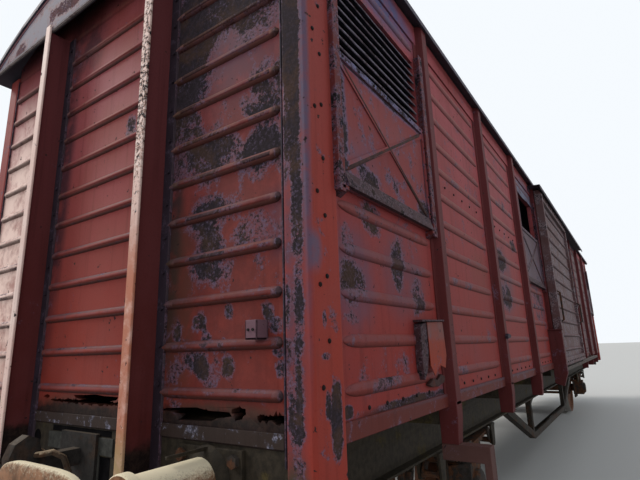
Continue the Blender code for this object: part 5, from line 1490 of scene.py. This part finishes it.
@dataclass
class SlidingDoor:
    """One door leaf with its ridges, stile and furniture, and the rails that carry it."""

    name: str
    side: int
    stile: float = 0.095
    ridges: int = 11
    stand: float = 0.0575
    panel: float = 0.030
    frame: float = 0.068
    handles: tuple[Point, ...] = ((1.17, 0.55, 0.95), (-1.22, 0.60, 0.93))

    def build(self) -> None:
        """Build the door and its rails."""
        node = "door_" + self.name
        body = node + "_body"
        refined(node, DOOR_PAINT, body, bevel=0.004)
        side, out = self.side, (0, self.side, 0)
        back = side * (HALF + self.stand)
        panel, front = back + side * self.panel, back + side * self.frame
        low, high = SILL + 0.020, EAVE - 0.085
        ridges, edge = Shape(), DOOR_LEAF - self.stile - 0.018
        for k in range(self.ridges):
            z = low + self.stile + (k + 0.5) * (high - low - 2 * self.stile) / self.ridges
            ridges.bead((-edge, panel, z), (edge, panel, z), out, 0.024, 0.0150, (0.07, 0.07))
        ridges.piece(node + "_ridges", DOOR_RIDGE_PAINT, body, smooth=60)
        stile = Shape().box((side * (DOOR_LEAF - 0.092), front - side * 0.002, low + 0.004),
                            (side * (DOOR_LEAF - 0.004), front + side * 0.0035, high - 0.004))
        stile.piece(node + "_stile", DOOR_FRAME_PAINT, body, bevel=0.003)
        handles, grip = Shape(), front + side * 0.045
        for reach, foot, top in self.handles:
            x = side * reach
            handles.tube([(x, front, SILL + foot), (x, grip, SILL + foot + 0.03),
                          (x, grip, SILL + top - 0.03), (x, front, SILL + top)], 0.011)
        handles.piece(node + "_handles", GEAR, body)
        bolts = Fasteners(0.010, 0.007, HeadForm.HEX)
        for x in (0.045 - DOOR_LEAF, DOOR_LEAF - 0.045):
            bolts.row((x, front + side * 0.003, low + 0.08), (x, front + side * 0.003, high - 0.08), 14, out)
        for z in (low + 0.045, high - 0.045):
            bolts.row((0.10 - DOOR_LEAF, front, z), (DOOR_LEAF - 0.12, front, z), 13, out)
        bolts.piece(node + "_bolts", BOLT_DARK, body)
        refined("door_hood_" + self.name, HOOD_PAINT, bevel=0.002)
        refined("door_track_" + self.name, TRACK_PAINT)


@dataclass
class Roof:
    """Arched roof with its seams, and the fascia at both ends."""

    reach: float = 6.525
    rise: float = 0.390
    seams: int = 9
    pitch: float = 1.46
    seam: tuple[Flat, ...] = ((-0.022, 0.006), (-0.016, 0.0005), (0.016, 0.0005), (0.022, 0.006))

    def height(self, y: float) -> float:
        """Return the height of the roof's outer face at a distance from the middle."""
        radius = (EAVE_Y**2 + self.rise**2) / (2 * self.rise)
        return EAVE + self.rise - radius + math.sqrt(radius**2 - y * y)

    def build(self) -> None:
        """Build the roof."""
        refined("roof", ROOF_PAINT)
        arc = [EAVE_Y * k / 16 for k in range(-16, 17)]
        seams, half = Shape(), self.seams // 2
        for x in (k * self.pitch for k in range(-half, half + 1)):
            seams.loft([[(x + u, y, self.height(y) - drop) for u, drop in self.seam] for y in arc])
        seams.piece("roof_seams", ROOF_PAINT)
        for name, sign in ENDS:
            self.fascia(name, sign, arc)

    def fascia(self, name: str, sign: int, arc: list[float]) -> None:
        """Dress the arched board at one end with its rim, band, lip and rivets.

        Args:
            name: Name of the end.
            sign: Side of the wagon's middle.
            arc: Distances from the middle at which the arch is cut.
        """
        face = sign * (self.reach - 0.014)
        front, foot = face + sign * 0.0015, EAVE - 0.028
        outline = [(y * 0.995, self.height(y) - 0.035) for y in arc]
        outline += [(EAVE_Y - 0.006, foot), (0.006 - EAVE_Y, foot)]
        Shape().prism(outline, Axis.X, face - sign * 0.004, front).piece(f"fascia_board_{name}", FASCIA_PAINT)
        for part, paint, sink, back, out, low, high, squeeze in (
            ("rim", RIM_PAINT, 0.013, 0.006, 0.012, -0.020, 0.006, 1.0),
            ("band", BAND_PAINT, 0.033, 0.002, 0.004, -0.022, 0.0, 0.99),
        ):
            rings, behind, before = [], face - sign * back, face + sign * out
            for y in arc:
                z, wide = self.height(y) - sink, y * squeeze
                rings.append([(behind, wide, z + low), (before, wide, z + low), (before, wide, z + high),
                              (behind, wide, z + high)])
            Shape().loft(rings).piece(f"fascia_{part}_{name}", paint)
        lip = Shape().box((face - sign * 0.004, 0.002 - EAVE_Y, EAVE - 0.0305),
                          (face + sign * 0.0138, EAVE_Y - 0.002, EAVE - 0.0225))
        lip.piece(f"fascia_lip_{name}", SUNLIT_LIP_PAINT)
        heads = Fasteners(0.007, 0.004)
        heads.row((front, -1.30, EAVE - 0.008), (front, 1.30, EAVE - 0.008), 27, (sign, 0, 0))
        for y in arc[2:-2]:
            heads.add((front, y, self.height(y) - 0.052), (sign, 0, 0))
        heads.piece(f"fascia_rivets_{name}", FASCIA_PAINT)


@dataclass
class Buffer:
    """Buffer with a turned casing and plunger, a curved head and a bolted plate."""

    corner: str
    side: int
    sign: int
    spread: float = 0.875
    height: float = 1.080
    casing: tuple[Flat, ...] = (
        (0.005, 0.0), (0.005, 0.085), (0.050, 0.082), (0.325, 0.081), (0.328, 0.088), (0.332, 0.095),
        (0.360, 0.095), (0.366, 0.090), (0.367, 0.070), (0.372, 0.069), (0.560, 0.069), (0.574, 0.075),
        (0.592, 0.080), (0.6185, 0.079), (0.6197, 0.0))
    collar: tuple[Flat, ...] = (
        (0.010, 0.0), (0.010, 0.117), (0.018, 0.118), (0.030, 0.104), (0.042, 0.090), (0.052, 0.084),
        (0.053, 0.0))
    head: tuple[Point, ...] = (
        (0.582, 0.196, 0.140), (0.587, 0.222, 0.166), (0.594, 0.226, 0.170), (0.610, 0.226, 0.170),
        (0.6155, 0.220, 0.164), (0.6185, 0.150, 0.110), (0.6199, 0.060, 0.045))
    plate: tuple[Flat, ...] = (
        (-0.170, -0.120), (-0.150, -0.140), (0.150, -0.140), (0.170, -0.120), (0.170, 0.110), (-0.170, 0.110))

    def at(self, out: float) -> float:
        """Return the X of a plane that stands off the headstock by a distance."""
        return self.sign * (END + SKIN + out)

    def build(self) -> None:
        """Build the buffer."""
        node = "buffer_" + self.corner
        y, z = self.side * self.spread, self.height
        turned = Shape().turned([(self.at(a), r) for a, r in self.casing], Axis.X, (0, y, z), 40)
        turned.piece(node + "_turned", BUFFER, stands_for=(node,), smooth=28)
        rings = []
        for along, wide, tall in self.head:
            ring = []
            for k in range(48):
                c, s = math.cos(2 * math.pi * k / 48), math.sin(2 * math.pi * k / 48)
                ring.append((self.at(along), y + wide * math.copysign(abs(c) ** 0.42, c),
                             z + tall * math.copysign(abs(s) ** 0.42, s)))
            rings.append(ring)
        Shape().loft(rings).piece(node + "_head", BUFFER, smooth=40)
        plate = Shape().turned([(self.at(a), r) for a, r in self.collar], Axis.X, (0, y, z), 40)
        outline = [(y + u, z + v) for u, v in self.plate]
        plate.prism(outline, Axis.X, self.at(0), self.at(0.018))
        for dy, dz in ((0, 0.106), (0, -0.106), (0.106, 0), (-0.106, 0)):
            plate.box((self.at(0.015), y + dy - 0.006, z + dz - 0.006),
                      (self.at(0.20), y + dy + 0.006, z + dz + 0.006))
        plate.piece(node + "_plate", HEADSTOCK, bevel=0.003)
        bolts = Fasteners(0.024, 0.016, HeadForm.HEX)
        for dy in (-0.137, 0.137):
            for dz in (-0.100, 0.075):
                bolts.add((self.at(0.020), y + dy, z + dz), (self.sign, 0, 0))
        bolts.piece(node + "_bolts", GEAR)


@dataclass
class Wheelset:
    """Axle and two turned wheels."""

    name: str
    sign: int
    half: tuple[Flat, ...] = (
        (0.0, 0.073), (0.640, 0.073), (0.668, 0.082), (0.6705, 0.080), (0.671, 0.128), (0.676, 0.133),
        (0.700, 0.150), (0.728, 0.162), (0.744, 0.22), (0.752, 0.32), (0.742, 0.405), (0.716, 0.424),
        (0.690, 0.433), (0.6825, 0.436), (0.6825, 0.520), (0.688, 0.527), (0.6955, 0.530), (0.703, 0.527),
        (0.709, 0.515), (0.7165, 0.502), (0.760, 0.4985), (0.811, 0.495), (0.8175, 0.489), (0.8175, 0.440),
        (0.812, 0.435), (0.784, 0.425), (0.768, 0.405), (0.774, 0.32), (0.768, 0.22), (0.758, 0.163),
        (0.790, 0.148), (0.8295, 0.132), (0.8295, 0.080), (0.845, 0.075), (0.895, 0.0745), (0.905, 0.0595),
        (1.079, 0.0595), (1.080, 0.0))

    def build(self) -> None:
        """Build the wheelset."""
        profile = [(-a, r) for a, r in reversed(self.half[1:])] + list(self.half)
        shape = Shape().turned(profile, Axis.Y, (self.sign * AXLE_X, 0, AXLE_Z), 56)
        node = "wheelset_" + self.name
        shape.piece(node + "_turned", WHEEL, node + "_body", (node,), smooth=30)


@dataclass
class Spring:
    """Leaves and box cover bolts of one axle box."""

    corner: str
    side: int
    sign: int
    leaves: int = 7
    thickness: float = 0.013
    eye: float = 0.805
    half: float = 0.550
    sag: float = 0.035
    across: float = 1.0
    wide: float = 0.0936
    cover: float = 0.084
    cover_face: float = 1.1215

    def surface(self, x: float, leaf: float) -> float:
        """Return the height of a leaf's face at a distance from the buckle."""
        top = self.eye - self.sag + self.thickness / 2
        return top + self.sag * (x / self.half) ** 2 - leaf * self.thickness

    def build(self) -> None:
        """Build what shows on the suspension."""
        node = "suspension_" + self.corner
        refined(node, GEAR)
        shape = Shape()
        for leaf in range(self.leaves):
            reach = self.half * (1 - leaf / (self.leaves + 0.7))
            stations = [reach * k / 8 for k in range(-8, 9)]
            upper = [(x, self.surface(x, leaf) - 0.0006) for x in stations]
            lower = [(x, self.surface(x, leaf + 1) + 0.0006) for x in reversed(stations)]
            shape.prism(upper + lower, Axis.Y, self.across - self.wide / 2, self.across + self.wide / 2)
        for vert in shape.bm.verts:
            vert.co.x += AXLE_X
        shape.mirror(self.sign, self.side)
        shape.piece(node + "_leaves", GEAR, bevel=0.0015)
        bolts = Fasteners(0.011, 0.009, HeadForm.HEX)
        for turn in (math.pi * (k + 0.5) / 3 for k in range(6)):
            x, z = AXLE_X + self.cover * math.cos(turn), AXLE_Z + self.cover * math.sin(turn)
            bolts.add((self.sign * x, self.side * self.cover_face, z), (0, self.side, 0))
        bolts.piece(node + "_bolts", GEAR)


@dataclass
class Underframe:
    """Frame, trusses, brakes, guards and draw gear."""

    bow: tuple[Point, ...] = (
        (0.090, -0.076, 1.030), (0.118, -0.076, 1.098), (0.165, -0.072, 1.128), (0.205, -0.050, 1.124),
        (0.222, 0.0, 1.118))
    slots: tuple[tuple[float, ...], ...] = ((-0.275, 0.240, 1.170, 1.1965), (-0.260, 0.240, 0.980, 1.087))
    bars: tuple[tuple[float, ...], ...] = ((-0.300, 0.260, 1.092, 1.166), (0.100, 0.160, 0.975, 1.095))

    def build(self) -> None:
        """Build what hangs below the floor."""
        refined("underframe", HEADSTOCK)
        for name, sign in ENDS:
            self.openings(name, sign)
        refined("air_brake", GEAR)
        for side_name, side in SIDES:
            refined("truss_" + side_name, FRAME, bevel=0.004)
            for end_name, sign in ENDS:
                corner = f"{side_name}_{end_name}"
                Buffer(corner, side, sign).build()
                Spring(corner, side, sign).build()
                refined("axle_guard_" + corner, FRAME)
        for name, sign in ENDS:
            refined("draw_gear_" + name, COUPLING, bevel=0.002)
            path = [*self.bow, *[(x, -y, z) for x, y, z in reversed(self.bow[:-1])]]
            bow = Shape().tube([(sign * (END + x), y, z) for x, y, z in path], 0.0125)
            bow.piece("coupling_bow_" + name, BOW)
            refined("brake_rigging_" + name, GEAR)
            Wheelset(name, sign).build()

    def openings(self, name: str, sign: int) -> None:
        """Mark the slots of the headstock with thin boxes in painted shade, and the bars that cross them.

        Args:
            name: Name of the end.
            sign: Side of the wagon's middle.
        """
        face = sign * (END + 0.0006)
        dark, bars = Shape(), Shape()
        for y0, y1, z0, z1 in self.slots:
            dark.box((face - sign * 0.004, y0, z0), (face, y1, z1))
        turns = [math.pi * k / 8 for k in range(16)]
        ring = [(-0.425 + 0.035 * math.cos(t), 1.125 + 0.041 * math.sin(t)) for t in turns]
        dark.prism(ring, Axis.X, face - sign * 0.004, face).piece(f"headstock_openings_{name}", DARK)
        for y0, y1, z0, z1 in self.bars:
            bars.box((face - sign * 0.002, y0, z0), (face + sign * 0.006, y1, z1))
        bars.piece(f"headstock_bars_{name}", BAR_PAINT, bevel=0.002)


@dataclass
class Studio:
    """Floor, light and camera."""

    place: Point = (7.645, 2.232, 1.526)
    yaw: float = 213.98
    pitch: float = 13.41
    roll: float = -1.88
    focal: float = 454.45
    sky: float = 0.62
    sun: float = 1.8

    def build(self) -> None:
        """Build the studio."""
        self.floor()
        self.light()
        self.camera()

    def floor(self) -> None:
        """Lay the pale floor."""
        mesh = bpy.data.meshes.new("studio_floor")
        corners = [(-200, -200, 0), (200, -200, 0), (200, 200, 0), (-200, 200, 0)]
        mesh.from_pydata(corners, [], [(0, 1, 2, 3)])
        floor = added("studio_floor", mesh)
        g = Graph("studio_floor")
        g.surface((0.58, 0.58, 0.57), 0.9)
        mesh.materials.append(g.material)

    def light(self) -> None:
        """Light the wagon with a sky that shows paler than it shines, and one soft lamp."""
        world = bpy.data.worlds.new("studio")
        bpy.context.scene.world = world
        world.use_nodes = True
        nodes, link = world.node_tree.nodes, world.node_tree.links.new
        nodes.clear()
        out, sky = nodes.new("ShaderNodeOutputWorld"), nodes.new("ShaderNodeBackground")
        sky.inputs["Color"].default_value = (0.92, 0.96, 1.0, 1.0)
        path = nodes.new("ShaderNodeLightPath")
        shown = path.outputs["Is Camera Ray"]
        for ray in ("Is Glossy Ray", "Is Transmission Ray"):
            either = nodes.new("ShaderNodeMath")
            either.operation = "MAXIMUM"
            link(shown, either.inputs[0])
            link(path.outputs[ray], either.inputs[1])
            shown = either.outputs[0]
        level = nodes.new("ShaderNodeMapRange")
        level.inputs["To Min"].default_value = self.sky
        level.inputs["To Max"].default_value = 1.0
        link(shown, level.inputs["Value"])
        link(level.outputs["Result"], sky.inputs["Strength"])
        link(sky.outputs["Background"], out.inputs["Surface"])
        lamp = bpy.data.lights.new("soft_sun", "SUN")
        lamp.energy = self.sun
        lamp.angle = math.radians(18)
        lamp.color = (1.0, 0.96, 0.90)
        sun = added("soft_sun", lamp)
        sun.rotation_mode = "QUATERNION"
        sun.rotation_quaternion = Vector((0.28, -0.74, 0.62)).to_track_quat("Z", "Y")

    def camera(self) -> None:
        """Set the camera where the picture was taken."""
        yaw, pitch, roll = (math.radians(a) for a in (self.yaw, self.pitch, self.roll))
        ahead = Vector((math.cos(yaw) * math.cos(pitch), math.sin(yaw) * math.cos(pitch), math.sin(pitch)))
        right = Vector((math.sin(yaw), -math.cos(yaw), 0))
        up = right.cross(ahead)
        across = math.cos(roll) * right + math.sin(roll) * up
        upward = -math.sin(roll) * right + math.cos(roll) * up
        data = bpy.data.cameras.new("view")
        data.sensor_width = 36.0
        data.lens = self.focal / 640 * 36.0
        data.clip_start = 0.05
        data.clip_end = 500.0
        camera = added("view", data)
        turn = Matrix((across, upward, -ahead)).transposed().to_4x4()
        camera.matrix_world = Matrix.Translation(self.place) @ turn
        bpy.context.scene.camera = camera


def main() -> None:
    """Build the studio, then dress the wagon."""
    logging.basicConfig(level=logging.INFO, format="%(message)s")
    Studio().build()
    refined("floor", PLANKS)
    Roof().build()
    for name, sign in ENDS:
        EndPanel(name, sign).build()
    for name, side in SIDES:
        SideWall(name, side).build()
        SlidingDoor(name, side).build()
        for number, bay in enumerate(sorted(vent_bays(1) + vent_bays(-1), reverse=True), 1):
            Shutter(f"shutter_{name}_{number}", side, bay, number == (1 if side > 0 else 4)).build()
    LampBracket().build()
    for name, side in SIDES:
        CardHolder(side, side, name).build()
    Underframe().build()
    bpy.context.scene.view_settings.view_transform = "Standard"
    bpy.context.view_layer.update()


if __name__ == "__main__":
    main()
